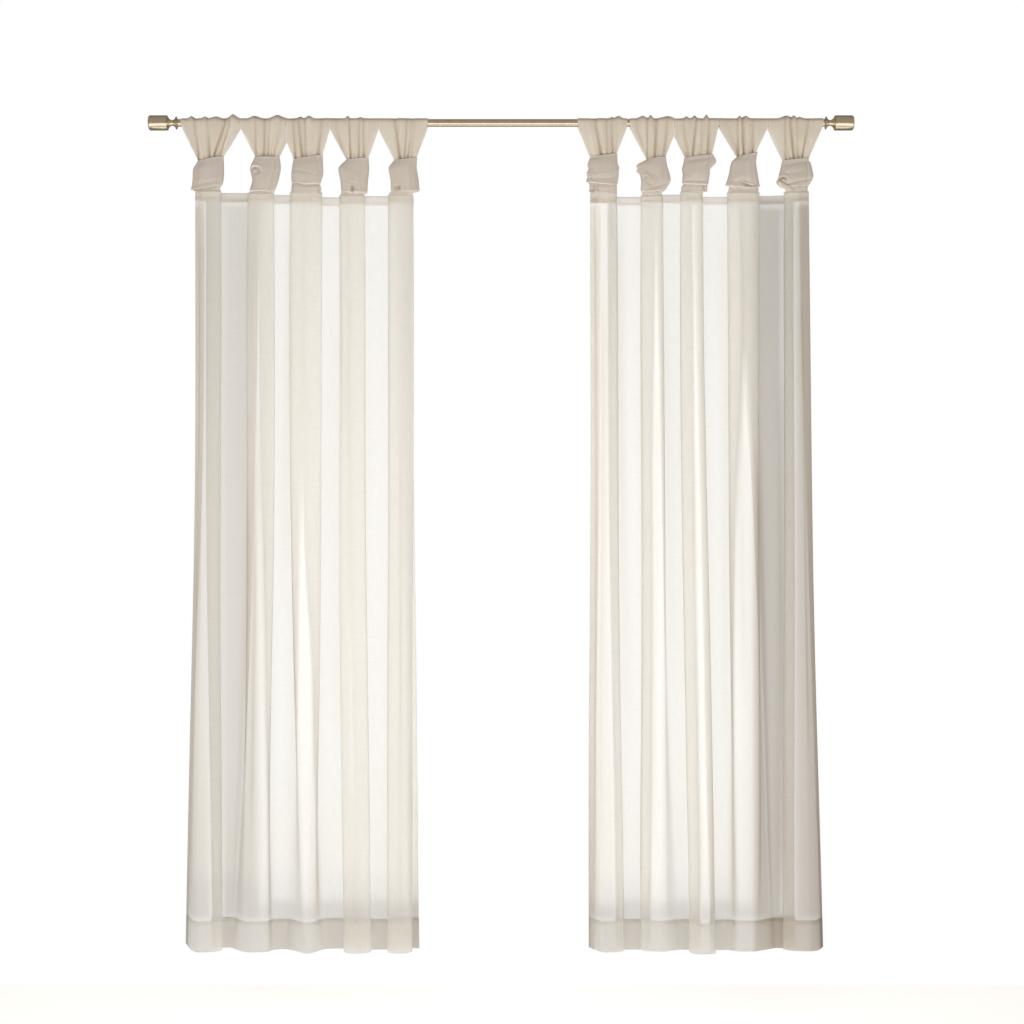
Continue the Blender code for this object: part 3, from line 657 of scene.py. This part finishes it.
def tab_rows(panel, number, tab, wrap, bumps, valleys):
    share = np.linspace(0.0, 1.0, TAB_COLUMNS + 1)
    lens = 1.0 - (2.0 * share - 1.0) ** 2
    neck_left = max(wrap[0].left, wrap[1].left) + WRAP_INSET * 0.5
    neck_right = min(wrap[0].right, wrap[1].right) - WRAP_INSET * 0.5
    foot_left = max(wrap[2].left, wrap[3].left) + 2.6
    foot_right = min(wrap[2].right, wrap[3].right) - 2.6
    neck_z = mix(wrap[0].left_z, wrap[0].right_z, share) - 4.0
    foot_z = mix(wrap[3].left_z, wrap[3].right_z, share) - RIM_CLEARANCE

    def edges(z_share):
        """The tab's two side edges, z_share 0 at the rod's height and 1 at the neck."""
        left_z, right_z = z_share * neck_z[0], z_share * neck_z[-1]
        left_share = max(0.0, (tab.part_left_z - left_z) / (tab.part_left_z - neck_z[0]))
        right_share = max(0.0, (tab.part_right_z - right_z) / (tab.part_right_z - neck_z[-1]))
        return mix(tab.rod_left, neck_left, left_share), mix(tab.rod_right, neck_right, right_share)

    width = tab.rod_right - tab.rod_left
    rod_x = tab.rod_left + width * share
    base = LOOP_RADIUS + 0.4 + 0.5 * ripple(9.0 * share * width / 100.0, 0.0, number)
    lift = np.zeros_like(share)
    for bump in bumps:
        lift = np.maximum(lift, bump.height * bell(rod_x - bump.x, 0.72 * bump.half_width))

    def gathers(front):
        """Each pleat from its ridge, 0, to its valley, 1, across the tab; no two are alike."""
        count = 6.6 + 0.9 * math.sin(2.1 * number + (0.0 if front else 1.3))
        drift = 0.42 * np.sin(2 * math.pi * share + number)
        drift += 0.26 * np.sin(4.6 * math.pi * share + 2.2 * number)
        phase = 2 * math.pi * (count * share + drift + 0.31 * number + (0.0 if front else 0.4))
        depth = 0.62 + 0.38 * np.sin(5.2 * math.pi * share + 1.9 * number + (0.0 if front else 1.0))
        return depth * (0.5 - 0.5 * np.cos(phase)) ** 1.4

    def pleats(z_share, front):
        """How far the cloth stands back from its own smooth front, and the painted shade in its folds."""
        left, right = edges(z_share)
        x = mix(left, right, share)
        depth, painted_shade = np.zeros_like(share), np.zeros_like(share)
        for valley in valleys if front else ():
            at = mix(valley.rod_x, valley.neck_x, z_share)
            half = valley.half_width * mix(1.2, 0.75, z_share)
            fold = valley.depth * bell(x - at, half)
            # The fold's own edge stands up beside its valley
            edge = 0.45 * valley.depth * bell(x - at - 1.9 * half, 1.2 * half)
            depth += mix(1.0, 1.5, z_share) * fold - edge
            # Painted shade in the valley, and a little painted highlight on the edge that stands up beside
            # it
            painted_shade += mix(0.16, 0.30, z_share) * fold - 0.10 * edge
        folded = gathers(front)
        depth += mix(0.25, 4.6, z_share ** 2.2) * folded
        depth += mix(0.25, 0.8, z_share) * (0.5 + 0.5 * ripple(31.0 * share, 3.0 * z_share, number))
        # Painted shade in the gathers, deeper towards the neck, and tone that differs at random
        painted_shade += mix(0.0, 0.55, z_share ** 3) * folded
        painted_shade += 0.10 * ripple(9.0 * share, 2.0 * z_share, number + 4)
        return depth, painted_shade

    # Painted highlight along the tab's two side edges
    rim = bell(share * width, 2.2) + bell((1.0 - share) * width, 2.2)

    def level(z_share, front):
        left, right = edges(z_share)
        x = mix(left, right, share)
        z = z_share * neck_z
        waist = FAN_WAIST_Z / neck_z
        near_rod = np.clip(z_share / waist, 0.0, 1.0)
        below = np.clip((z_share - waist) / (1.0 - waist), 0.0, 1.0)
        swell = base + lift * 0.55 * (1.0 - near_rod)
        depth, painted_shade = pleats(z_share, front)
        out = mix(mix(swell, FAN_WAIST_Y + 1.0, near_rod), 4.4 + 3.0 * lens, below) - depth
        out = np.maximum(out, mix(ROD_RADIUS + 0.8, 0.5, min(1.0, z_share * 2.2)))
        lean = wrap_lean(z)
        y = lean - out if front else lean + out
        return np.stack([x, y, z, 0.5 * rim - painted_shade], axis=1)

    lobe = panel.folds[2 * (number - 1)]
    stub_foot_z, stub_head_z = lobe.band_z + 1.0, lobe.top_z + 1.5
    # At a panel's own edge the tab reaches to that edge
    at_start, at_end = number == 1, 2 * number - 1 == len(panel.folds)
    span = (EDGE_STUB_SPAN[0] if at_start else STUB_SPAN[0], EDGE_STUB_SPAN[1] if at_end else STUB_SPAN[1])
    near = HEM_LAYER_GAP + 0.9
    far = near + 2.0

    def lower(front):
        """From the tab's sewn end in the heading up through the wrap to the neck."""
        gap = near if front else far
        rows = [stub_row(panel, number, gap, z, span) for z in np.linspace(stub_foot_z, stub_head_z, 4)]
        sign = -1.0 if front else 1.0
        folded = gathers(front)
        foot_y = 4.6 + 3.6 * lens - 3.2 * folded
        # The foot row, where the tab goes into the wrap, gets painted shade, deeper in the gathers
        foot = np.stack([mix(foot_left, foot_right, share), wrap_lean(foot_z) + sign * foot_y, foot_z,
                         -0.12 - 0.5 * folded], axis=1)
        head = rows[-1]
        for step in (0.25, 0.5, 0.7, 0.85, 0.94):
            row = mix(head, foot, step)
            row[:, 0] = mix(head[:, 0], foot[:, 0], step ** 5)
            row[:, 1] -= sign * 1.3 * folded * math.sin(math.pi * step)
            rows.append(row)
        rows.append(foot)
        neck = level(1.0, front)
        # Out of sight within the wrap the gathers stand deeper
        for step in (0.2, 0.4, 0.6, 0.8):
            row = mix(foot, neck, step)
            deep = 9.0 * math.sin(math.pi * step) * (0.4 + 0.6 * lens)
            row[:, 1] += sign * deep * 0.5 * np.cos(18.0 * math.pi * share)
            rows.append(row)
        return rows

    steps = np.linspace(1.0, 0.0, 26)
    rows = lower(True) + [level(step, True) for step in steps]
    for angle in np.linspace(0.0, math.pi, 17)[1:-1]:
        swell = base + lift * mix(0.55, 1.0, math.sin(angle))
        depth, painted_shade = pleats(0.0, angle < math.pi / 2)
        swell = swell - depth * (1.0 - 0.6 * math.sin(angle))
        swell = np.maximum(swell, ROD_RADIUS + 0.8)
        y, z = -swell * math.cos(angle), swell * math.sin(angle)
        rows.append(np.stack([rod_x, y, z, 0.5 * rim - painted_shade], axis=1))
    rows += [level(step, False) for step in steps[::-1]]
    rows += lower(False)[::-1]
    return np.array(rows)


def add_tab(side, number, panel, tab, wrap, bumps, valleys, material):
    points = tab_rows(panel, number, tab, wrap, bumps, valleys)
    width = (tab.rod_right - tab.rod_left) * TAB_EASE
    down = column_arcs(points).mean(axis=1)
    across = np.linspace(0.0, width, TAB_COLUMNS + 1) + 400.0 * number
    uvs = np.stack(np.broadcast_arrays(across[None, :], down[:, None]), axis=-1)
    tab_object = sheet_object(f"tab_{side}_{number}_voile", points, uvs, material)
    return tab_object, (width * MM, down[-1] * MM)


# Wraps


def wrap_outline(wrap, v):
    """The wrap's outline at a share v of its height, through its four rows."""
    places = np.linspace(0.0, 1.0, len(wrap))
    spot = min(int(v * (len(wrap) - 1)), len(wrap) - 2)
    t = (v - places[spot]) / (places[spot + 1] - places[spot])
    p = np.array(wrap, float)
    before = p[spot - 1] if spot > 0 else 2 * p[0] - p[1]
    after = p[spot + 2] if spot + 2 < len(wrap) else 2 * p[-1] - p[-2]
    a, b = p[spot], p[spot + 1]
    # A smooth curve through the rows, kept near the straight outline
    curved = 0.5 * (2 * a + (b - before) * t + (2 * before - 5 * a + 4 * b - after) * t ** 2
                    + (3 * a - before - 3 * b + after) * t ** 3)
    depth = np.interp(v, places, WRAP_HALF_DEPTHS)
    return mix(mix(a, b, t), curved, 0.7), depth


def wrap_rows(wrap, form, seed):
    power = 2.0 / WRAP_SQUARENESS
    # Extra rows turn the band's two edges in, as they are folded before it is wound
    plan = [(0.0, 3.2, 5.0), (0.0, 2.0, 2.2), (0.0, 0.7, 0.5)]
    plan += [(v, 0.0, 0.0) for v in np.linspace(0.0, 1.0, WRAP_ROWS)]
    plan += [(1.0, 0.7, -0.5), (1.0, 2.0, -2.2), (1.0, 3.4, -5.0)]
    rows = []
    for v, lip_inset, lip_down in plan:
        (left, left_z, right, right_z), half_depth = wrap_outline(wrap, v)
        end = mix(form.end_top, form.end_bottom, v)
        # The outer end lies on the front and the inner one is hidden a sixth of a turn before it
        stop = math.pi + math.acos(np.clip(1.0 - 2.0 * end, -1.0, 1.0)) + 2 * math.pi
        begin = stop - 2 * math.pi * WRAP_TURNS
        angles = np.linspace(begin, stop, WRAP_COLUMNS + 1)
        turn = (angles - begin) / (2 * math.pi)
        across = np.sign(np.cos(angles)) * np.abs(np.cos(angles)) ** power
        depth = np.sign(np.sin(angles)) * np.abs(np.sin(angles)) ** power
        inset = 1.4 + lip_inset - 1.1 * turn
        half = (right - left) / 2
        x = (left + right) / 2 + (half - inset) * across
        share_x = (across + 1.0) / 2.0
        z = mix(left_z, right_z, share_x)
        for ear in form.ears:
            shape = np.exp(-(np.abs((z - ear.z) / ear.half_height) ** 3))
            x = x + ear.side * ear.out * shape * np.clip(ear.side * across, 0.0, 1.0) ** 5
        drop = smooth(v) ** 3
        z = z - drop * WRAP_FRONT_DROP * np.clip(-depth, 0.0, 1.0)
        z = z + drop * WRAP_BACK_RISE * np.clip(depth, 0.0, 1.0)
        out = half_depth - inset
        on_front = smooth(-depth * 2.0)
        tone = 0.08 * ripple(3.0 * angles, 4.0 * v, seed + 6)
        for crease in form.creases:
            dx, dv = (crease.x1 - crease.x0) * 2 * half, (crease.v1 - crease.v0) * WRAP_HEIGHT
            px, pv = (share_x - crease.x0) * 2 * half, (v - crease.v0) * WRAP_HEIGHT
            length = math.hypot(dx, dv)
            along = np.clip((px * dx + pv * dv) / length ** 2, 0.0, 1.0)
            away = np.hypot(px - along * dx, pv - along * dv)
            fold = on_front * crease.depth * bell(away, crease.half_width)
            out = out - 1.3 * fold
            # Painted shade in the crease
            tone = tone - 0.10 * fold
        for curl in form.curls:
            away = np.hypot((x - curl.x) / 1.25, z - curl.z)
            bearing = np.arctan2(z - curl.z, x - curl.x) - math.radians(curl.open_at)
            ring = 0.5 - 0.5 * np.cos(bearing)
            raised = on_front * ring * bell(away - curl.radius, 2.4)
            sunk = on_front * ring * bell(away - 0.52 * curl.radius, 0.24 * curl.radius)
            out = out + 1.4 * curl.rim * raised - 1.2 * curl.hollow * sunk
            # Painted highlight on the curl's rim and painted shade in its hollow
            tone = tone + 0.27 * curl.rim * raised - 0.24 * curl.hollow * sunk
        # The band's rolled edges are a little thicker than its middle
        from_top, from_foot = v * WRAP_HEIGHT, (1.0 - v) * WRAP_HEIGHT
        rolled = bell(from_foot, 2.6) + 0.6 * bell(from_top, 2.6)
        out = out + on_front * 2.0 * rolled * (0.8 + 0.4 * ripple(7.0 * angles, 0.0, seed + 3))
        # Painted highlight on the rolled edges, and a painted shadow line a little above the lower edge
        tone = tone + rolled - 0.16 * bell(from_foot - 7.0, 3.0)
        out = out + 0.55 * ripple(2.0 * angles, 5.0 * v, seed)
        out = out + 0.25 * ripple(9.0 * angles, 9.0 * v, seed + 2)
        y = wrap_lean(z) + out * depth
        # The two innermost turned-in rows at each edge get flat painted tone: a little painted highlight,
        # then deep painted shade on the innermost
        if lip_inset > 1.0:
            tone = np.full_like(tone, 0.2 if lip_inset < 3.0 else -0.9)
        rows.append(np.stack([x, y, z - lip_down, tone], axis=1))
    return np.array(rows)


def lower_turn(corners):
    """The outline of a band's lower turn, slightly narrower in its middle."""
    left, top, right, foot, _ = corners
    return tuple(
        WrapRow(left + drawn_in, mix(top, foot, v), right - drawn_in, mix(top, foot, v))
        for v, drawn_in in ((0.0, 1.0), (0.33, 0.6), (0.67, 0.3), (1.0, 0.0))
    )


def add_wrap(side, number, wrap, form, material, name="wrap"):
    points = wrap_rows(wrap, form, number + (0 if side == "left" else 5))
    across = row_arcs(points).mean(axis=0)
    down = column_arcs(points).mean(axis=1)
    uvs = np.stack(np.broadcast_arrays(down[:, None], across[None, :] + 500.0 * number), axis=-1)
    obj = sheet_object(f"{name}_{side}_{number}_voile", points, uvs, material)
    return obj, (down[-1] * MM, across[-1] * MM)


# Metal


def turned_object(name, profile, side, start, material):
    """A profile of distances and radii turned about the rod's axis, from start outwards by side."""
    angles = 2 * math.pi * np.arange(TURNED_SIDES) / TURNED_SIDES
    verts = []
    for along, radius in profile:
        x = start + side * along
        verts += [(x * MM, radius * MM * math.cos(a), radius * MM * math.sin(a)) for a in angles]
    faces = []
    for ring in range(len(profile) - 1):
        for i in range(TURNED_SIDES):
            a, b = ring * TURNED_SIDES + i, ring * TURNED_SIDES + (i + 1) % TURNED_SIDES
            face = (a, b, b + TURNED_SIDES, a + TURNED_SIDES)
            faces.append(face[::-1] if side > 0 else face)
    first = tuple(range(TURNED_SIDES))
    last = tuple((len(profile) - 1) * TURNED_SIDES + i for i in range(TURNED_SIDES))
    faces += [first, last[::-1]] if side > 0 else [first[::-1], last]
    obj = mesh_object(name, verts, faces, material)
    obj.data.shade_smooth()
    obj.data.set_sharp_from_angle(angle=math.radians(35))
    return obj


def add_metal(material):
    length, edge = 2 * ROD_HALF_LENGTH, 0.6
    profile = [(0.0, ROD_RADIUS - edge), (edge, ROD_RADIUS)]
    profile += [(length - edge, ROD_RADIUS), (length, ROD_RADIUS - edge)]
    rod = turned_object("rod_brushed", profile, 1, -ROD_HALF_LENGTH, material)
    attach(rod, "root")
    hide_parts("rod")
    length = FINIAL_PROFILE[-1][0]
    profile = [(0.0, 0.4)] + [(length - along, radius) for along, radius in FINIAL_PROFILE][::-1]
    profile += [(length, 15.0), (length - 0.5, 14.4), (length - 0.5, 0.4)]
    for name, side in (("left", -1), ("right", 1)):
        start = side * (ROD_HALF_LENGTH + FINIAL_GAP)
        finial = turned_object(f"finial_{name}_turned", profile, side, start, material)
        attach(finial, "root")
        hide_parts(f"finial_{name}")


# Materials


def feed(tree, socket, value):
    """Joins the socket to another one, or gives it a value."""
    if isinstance(value, bpy.types.NodeSocket):
        tree.links.new(value, socket)
    else:
        socket.default_value = value


def feed_inputs(tree, made, **inputs):
    """Each input by its name, with _ for a space."""
    for name, value in inputs.items():
        feed(tree, made.inputs[name.replace("_", " ")], value)


def node(tree, kind, **inputs):
    made = tree.nodes.new(kind)
    feed_inputs(tree, made, **inputs)
    return made


def math_node(tree, operation, *values):
    made = tree.nodes.new("ShaderNodeMath")
    made.operation = operation
    for socket, value in zip(made.inputs, values):
        feed(tree, socket, value)
    return made.outputs[0]


def ramp(tree, source, low, high, from_low, from_high):
    made = node(tree, "ShaderNodeMapRange", Value=source, From_Min=from_low, From_Max=from_high,
                To_Min=low, To_Max=high)
    return made.outputs["Result"]


def streaks(tree, coordinates, scale, detail):
    """Noise drawn out along one direction of the cloth, as slubby yarns are."""
    mapped = node(tree, "ShaderNodeMapping", Vector=coordinates, Scale=scale).outputs["Vector"]
    noise = node(tree, "ShaderNodeTexNoise", Vector=mapped, Scale=1.0, Detail=detail, Roughness=0.6)
    return noise.outputs["Fac"]


def weave(tree, coordinates, pitch):
    """A plain weave's height: warp and weft threads that pass over and under in turn."""
    split = node(tree, "ShaderNodeSeparateXYZ", Vector=coordinates)
    turned = [math_node(tree, "MULTIPLY", split.outputs[axis], 2 * math.pi / pitch) for axis in "XY"]
    product = math_node(tree, "MULTIPLY", *[math_node(tree, "SINE", angle) for angle in turned])
    return math_node(tree, "MULTIPLY_ADD", product, 0.5, 0.5)


def mix_colours(tree, factor, low, high):
    """The colour or socket low where the factor is 0, and high where it is 1."""
    made = tree.nodes.new("ShaderNodeMix")
    made.data_type = "RGBA"
    low, high = [(*value, 1.0) if isinstance(value, tuple) else value for value in (low, high)]
    feed_inputs(tree, made, A=low, B=high, Factor=factor)
    return made.outputs["Result"]


def mix_shaders(tree, factor, low, high):
    made = tree.nodes.new("ShaderNodeMixShader")
    for socket, value in zip(made.inputs, (factor, low, high)):
        feed(tree, socket, value)
    return made.outputs[0]


def new_material(name):
    made = bpy.data.materials.new(name)
    made.use_nodes = True
    return made, made.node_tree


def voile_material(name, colour, shade, solid, through, slub):
    """Sheer plain-weave cloth. solid is the share that stops light, through the share that glows."""
    made, tree = new_material(name)
    tree.nodes.clear()
    out = tree.nodes.new("ShaderNodeOutputMaterial")
    cloth = node(tree, "ShaderNodeUVMap")
    cloth.uv_map = "cloth"
    spot = cloth.outputs["UV"]
    warp = streaks(tree, spot, (1500.0, 22.0, 1.0), 2.0)
    weft = streaks(tree, spot, (22.0, 1700.0, 1.0), 2.0)
    cloudy = streaks(tree, spot, (130.0, 0.9, 1.0), 3.0)
    yarn = math_node(tree, "ADD", warp, weft)
    threads = weave(tree, spot, 0.0009)

    uneven = ramp(tree, math_node(tree, "ADD", yarn, cloudy), 0.0, 1.0, 0.9, 2.1)
    plain = mix_colours(tree, uneven, shade, colour)

    # The tone attribute paints shade and highlight into the colour: browner painted shade in folds, also
    # where many layers lie, and a lighter painted highlight on single edges
    attribute = node(tree, "ShaderNodeAttribute")
    attribute.attribute_name = "tone_with_painted_shade_and_highlight"
    fold = attribute.outputs["Fac"]
    for full, tint in ((-1.0, (0.50, 0.40, 0.27)), (1.0, (0.98, 0.95, 0.90))):
        plain = mix_colours(tree, ramp(tree, fold, 0.0, 1.0, 0.0, full), plain, tint)

    height = math_node(tree, "MULTIPLY", threads, 0.35)
    height = math_node(tree, "ADD", height, math_node(tree, "MULTIPLY", yarn, 0.5))
    bump = node(tree, "ShaderNodeBump", Height=height, Strength=0.25, Distance=0.0004).outputs["Normal"]

    face = node(tree, "ShaderNodeBsdfPrincipled", Base_Color=plain, Normal=bump, Roughness=0.86,
                Specular_IOR_Level=0.25, Sheen_Weight=0.25, Sheen_Roughness=0.5)
    glow = node(tree, "ShaderNodeBsdfTranslucent", Color=plain, Normal=bump)
    body = mix_shaders(tree, through, face.outputs[0], glow.outputs[0])
    clear = tree.nodes.new("ShaderNodeBsdfTransparent")
    stop = ramp(tree, yarn, solid - slub, min(1.0, solid + slub), 0.7, 1.3)
    # Where the tone attribute paints shade, the cloth also stops more light, standing in for more layers
    # lying together than are modelled one by one
    layers = math_node(tree, "ADD", stop, ramp(tree, fold, 0.45, 0.0, -1.0, 0.0))
    layers.node.use_clamp = True
    tree.links.new(mix_shaders(tree, layers, clear.outputs[0], body), out.inputs["Surface"])
    made.diffuse_color = (*colour, 1.0)
    return made


def thread_material():
    made, tree = new_material("sewing_thread")
    spot = node(tree, "ShaderNodeTexCoord").outputs["Object"]
    noise = node(tree, "ShaderNodeTexNoise", Vector=spot, Scale=700.0, Detail=2.0)
    colour = mix_colours(tree, noise.outputs["Fac"], (0.70, 0.64, 0.53), (0.82, 0.77, 0.68))
    feed_inputs(tree, tree.nodes["Principled BSDF"], Base_Color=colour, Roughness=0.7)
    return made


def metal_material():
    """Champagne metal, brushed round its axis, with faint streaks and a few soft marks."""
    made, tree = new_material("brushed_champagne")
    spot = node(tree, "ShaderNodeTexCoord").outputs["Object"]
    rings = streaks(tree, spot, (2600.0, 30.0, 30.0), 3.0)
    lines = streaks(tree, spot, (16.0, 900.0, 900.0), 2.0)
    marks = streaks(tree, spot, (60.0, 60.0, 60.0), 3.0)
    worn = ramp(tree, math_node(tree, "ADD", rings, marks), 0.0, 1.0, 0.7, 1.3)
    colour = mix_colours(tree, worn, (0.80, 0.69, 0.51), (0.93, 0.83, 0.66))
    rough = ramp(tree, rings, 0.16, 0.28, 0.3, 0.7)
    height = math_node(tree, "ADD", rings, lines)
    bump = node(tree, "ShaderNodeBump", Height=height, Strength=0.12, Distance=0.0002).outputs["Normal"]
    feed_inputs(tree, tree.nodes["Principled BSDF"], Base_Color=colour, Metallic=1.0, Roughness=rough,
                Normal=bump)
    return made


def floor_material():
    made, tree = new_material("pale_floor")
    pale = (0.95, 0.95, 0.94, 1.0)
    feed_inputs(tree, tree.nodes["Principled BSDF"], Base_Color=pale, Roughness=0.9, Emission_Color=pale,
                Emission_Strength=0.70)
    return made


# Stage


def add_stage():
    wide, near, far, z = 2.4, -0.5, 0.5, -2.35
    corners = [(-wide, near, z), (wide, near, z), (wide, far, z), (-wide, far, z)]
    floor = mesh_object("floor", corners, [(0, 1, 2, 3)], floor_material())

    world = bpy.data.worlds.new("studio")
    world.use_nodes = True
    bpy.context.scene.world = world
    tree = world.node_tree
    tree.nodes.clear()
    out = tree.nodes.new("ShaderNodeOutputWorld")
    seen = node(tree, "ShaderNodeBackground", Color=(1.0, 1.0, 1.0, 1.0), Strength=1.0)
    # Dim light from behind, more from in front, and most from low in front
    towards = node(tree, "ShaderNodeTexCoord").outputs["Generated"]
    split = node(tree, "ShaderNodeSeparateXYZ", Vector=towards)
    front = ramp(tree, split.outputs["Y"], 0.0, 1.0, 0.3, -0.5)
    under = ramp(tree, split.outputs["Z"], 0.0, 1.0, -0.24, -0.42)
    over = ramp(tree, split.outputs["Z"], 0.0, 1.0, -1.05, -0.60)
    glow = math_node(tree, "MULTIPLY", math_node(tree, "MULTIPLY", under, over), front)
    level = math_node(tree, "MULTIPLY_ADD", front, 0.12, 0.20)
    total = math_node(tree, "MULTIPLY_ADD", glow, 1.05, level)
    tint = mix_colours(tree, glow, (1.0, 0.90, 0.78), (1.0, 1.0, 1.0))
    lit = node(tree, "ShaderNodeBackground", Color=tint, Strength=total)
    path = node(tree, "ShaderNodeLightPath")
    both = mix_shaders(tree, path.outputs["Is Camera Ray"], lit.outputs[0], seen.outputs[0])
    tree.links.new(both, out.inputs["Surface"])


def add_light(name, at, towards, size, energy, colour, spread):
    light = bpy.data.lights.new(name, "AREA")
    light.shape = "RECTANGLE"
    light.size, light.size_y = size
    light.energy = energy
    light.color = colour
    light.spread = math.radians(spread)
    obj = bpy.data.objects.new(name, light)
    bpy.context.scene.collection.objects.link(obj)
    obj.location = at
    direction = np.array(towards, float) - np.array(at, float)
    flat = math.hypot(direction[0], direction[1])
    # A light shines along its own -Z, so it tips up from straight down and then turns
    obj.rotation_euler = (math.atan2(flat, -direction[2]), 0.0, math.atan2(-direction[0], direction[1]))
    # The lamps stand out of sight, also as mirrored by the metal
    obj.visible_camera = False
    obj.visible_glossy = False


def add_lights():
    add_light("front", (-0.08, -1.4, -1.15), (-0.08, 0.0, -1.15), (2.4, 1.4), 20.5,
              (1.0, 0.985, 0.96), 180.0)
    add_light("tabs", (0.0, -1.2, -0.70), (0.0, 0.0, -0.09), (2.2, 0.16), 0.36, (1.0, 0.99, 0.98), 16.0)
    # A dim warm light reaches the cloth to the left of the back light too
    far_left = 0.83
    middle = (GLOW_RIGHT - far_left) / 2
    add_light("wall", (middle, GLOW_Y, -1.05), (middle, 0.0, -1.05), (GLOW_RIGHT + far_left, 1.74), 1.35,
              (1.0, 0.965, 0.75), 20.0)
    add_light("over", (0.0, GLOW_Y, -0.09), (0.0, 0.0, -0.09), (1.64, 0.20), 0.25, (1.0, 0.97, 0.93), 20.0)
    width, height = GLOW_RIGHT - GLOW_LEFT, GLOW_TOP - GLOW_FOOT
    centre = ((GLOW_LEFT + GLOW_RIGHT) / 2, GLOW_Y, (GLOW_TOP + GLOW_FOOT) / 2)
    towards = (centre[0], centre[1] - 1.0, centre[2])
    add_light("back", centre, towards, (width, height), 3.6, (0.95, 0.98, 1.03), 18.0)


def add_camera():
    camera = bpy.data.cameras.new("photo_view")
    camera.sensor_width = SENSOR_WIDTH
    camera.lens = SENSOR_WIDTH * abs(CAMERA_AT[1]) / FIELD_WIDTH
    obj = bpy.data.objects.new("photo_view", camera)
    bpy.context.scene.collection.objects.link(obj)
    obj.location = CAMERA_AT
    obj.rotation_euler = (math.pi / 2, 0.0, 0.0)
    bpy.context.scene.camera = obj


def dress():
    voile = voile_material("ivory_voile", (0.95, 0.938, 0.91), (0.93, 0.913, 0.88), 0.60, 0.58, 0.04)
    # The tabs and wraps are the same cloth drawn in darker, browner colours: partly their more layers,
    # partly painted shade
    tab_voile = voile_material("doubled_voile_painted_shade", (0.86, 0.81, 0.72), (0.82, 0.765, 0.675), 0.90, 0.42, 0.04)
    wrap_voile = voile_material("wound_voile_painted_shade", (0.78, 0.72, 0.65), (0.73, 0.675, 0.61), 0.97, 0.34, 0.02)
    thread = thread_material()
    add_metal(metal_material())
    for side, panel, tabs, wraps, forms, turns, bumps, valleys in (
        ("left", LEFT_PANEL, LEFT_TABS, LEFT_WRAPS, LEFT_WRAP_FORMS, LEFT_TURNS, LEFT_BUMPS, LEFT_VALLEYS),
        ("right", RIGHT_PANEL, RIGHT_TABS, RIGHT_WRAPS, RIGHT_WRAP_FORMS, RIGHT_TURNS, RIGHT_BUMPS,
         RIGHT_VALLEYS),
    ):
        for i in range(len(tabs)):
            tab, flat = add_tab(side, i + 1, panel, tabs[i], wraps[i], bumps[i], valleys[i], tab_voile)
            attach(tab, "root")
            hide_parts(f"tab_{side}_{i + 1}")
            wrap, flat = add_wrap(side, i + 1, wraps[i], forms[i], wrap_voile)
            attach(wrap, "root")
            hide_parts(f"wrap_{side}_{i + 1}")
            if i + 1 in turns:
                form = turns[i + 1].form
                turn, flat = add_wrap(side, i + 1, lower_turn(turns[i + 1]), form, wrap_voile, "turn")
                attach(turn, "root")
        cloth, seam, flat = add_panel(side, panel, voile, thread)
        for piece in (cloth, seam):
            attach(piece, "root")
        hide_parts(f"panel_{side}")


bpy.context.scene.view_settings.view_transform = "Standard"
add_camera()
add_stage()
add_lights()
dress()

bpy.context.view_layer.update()
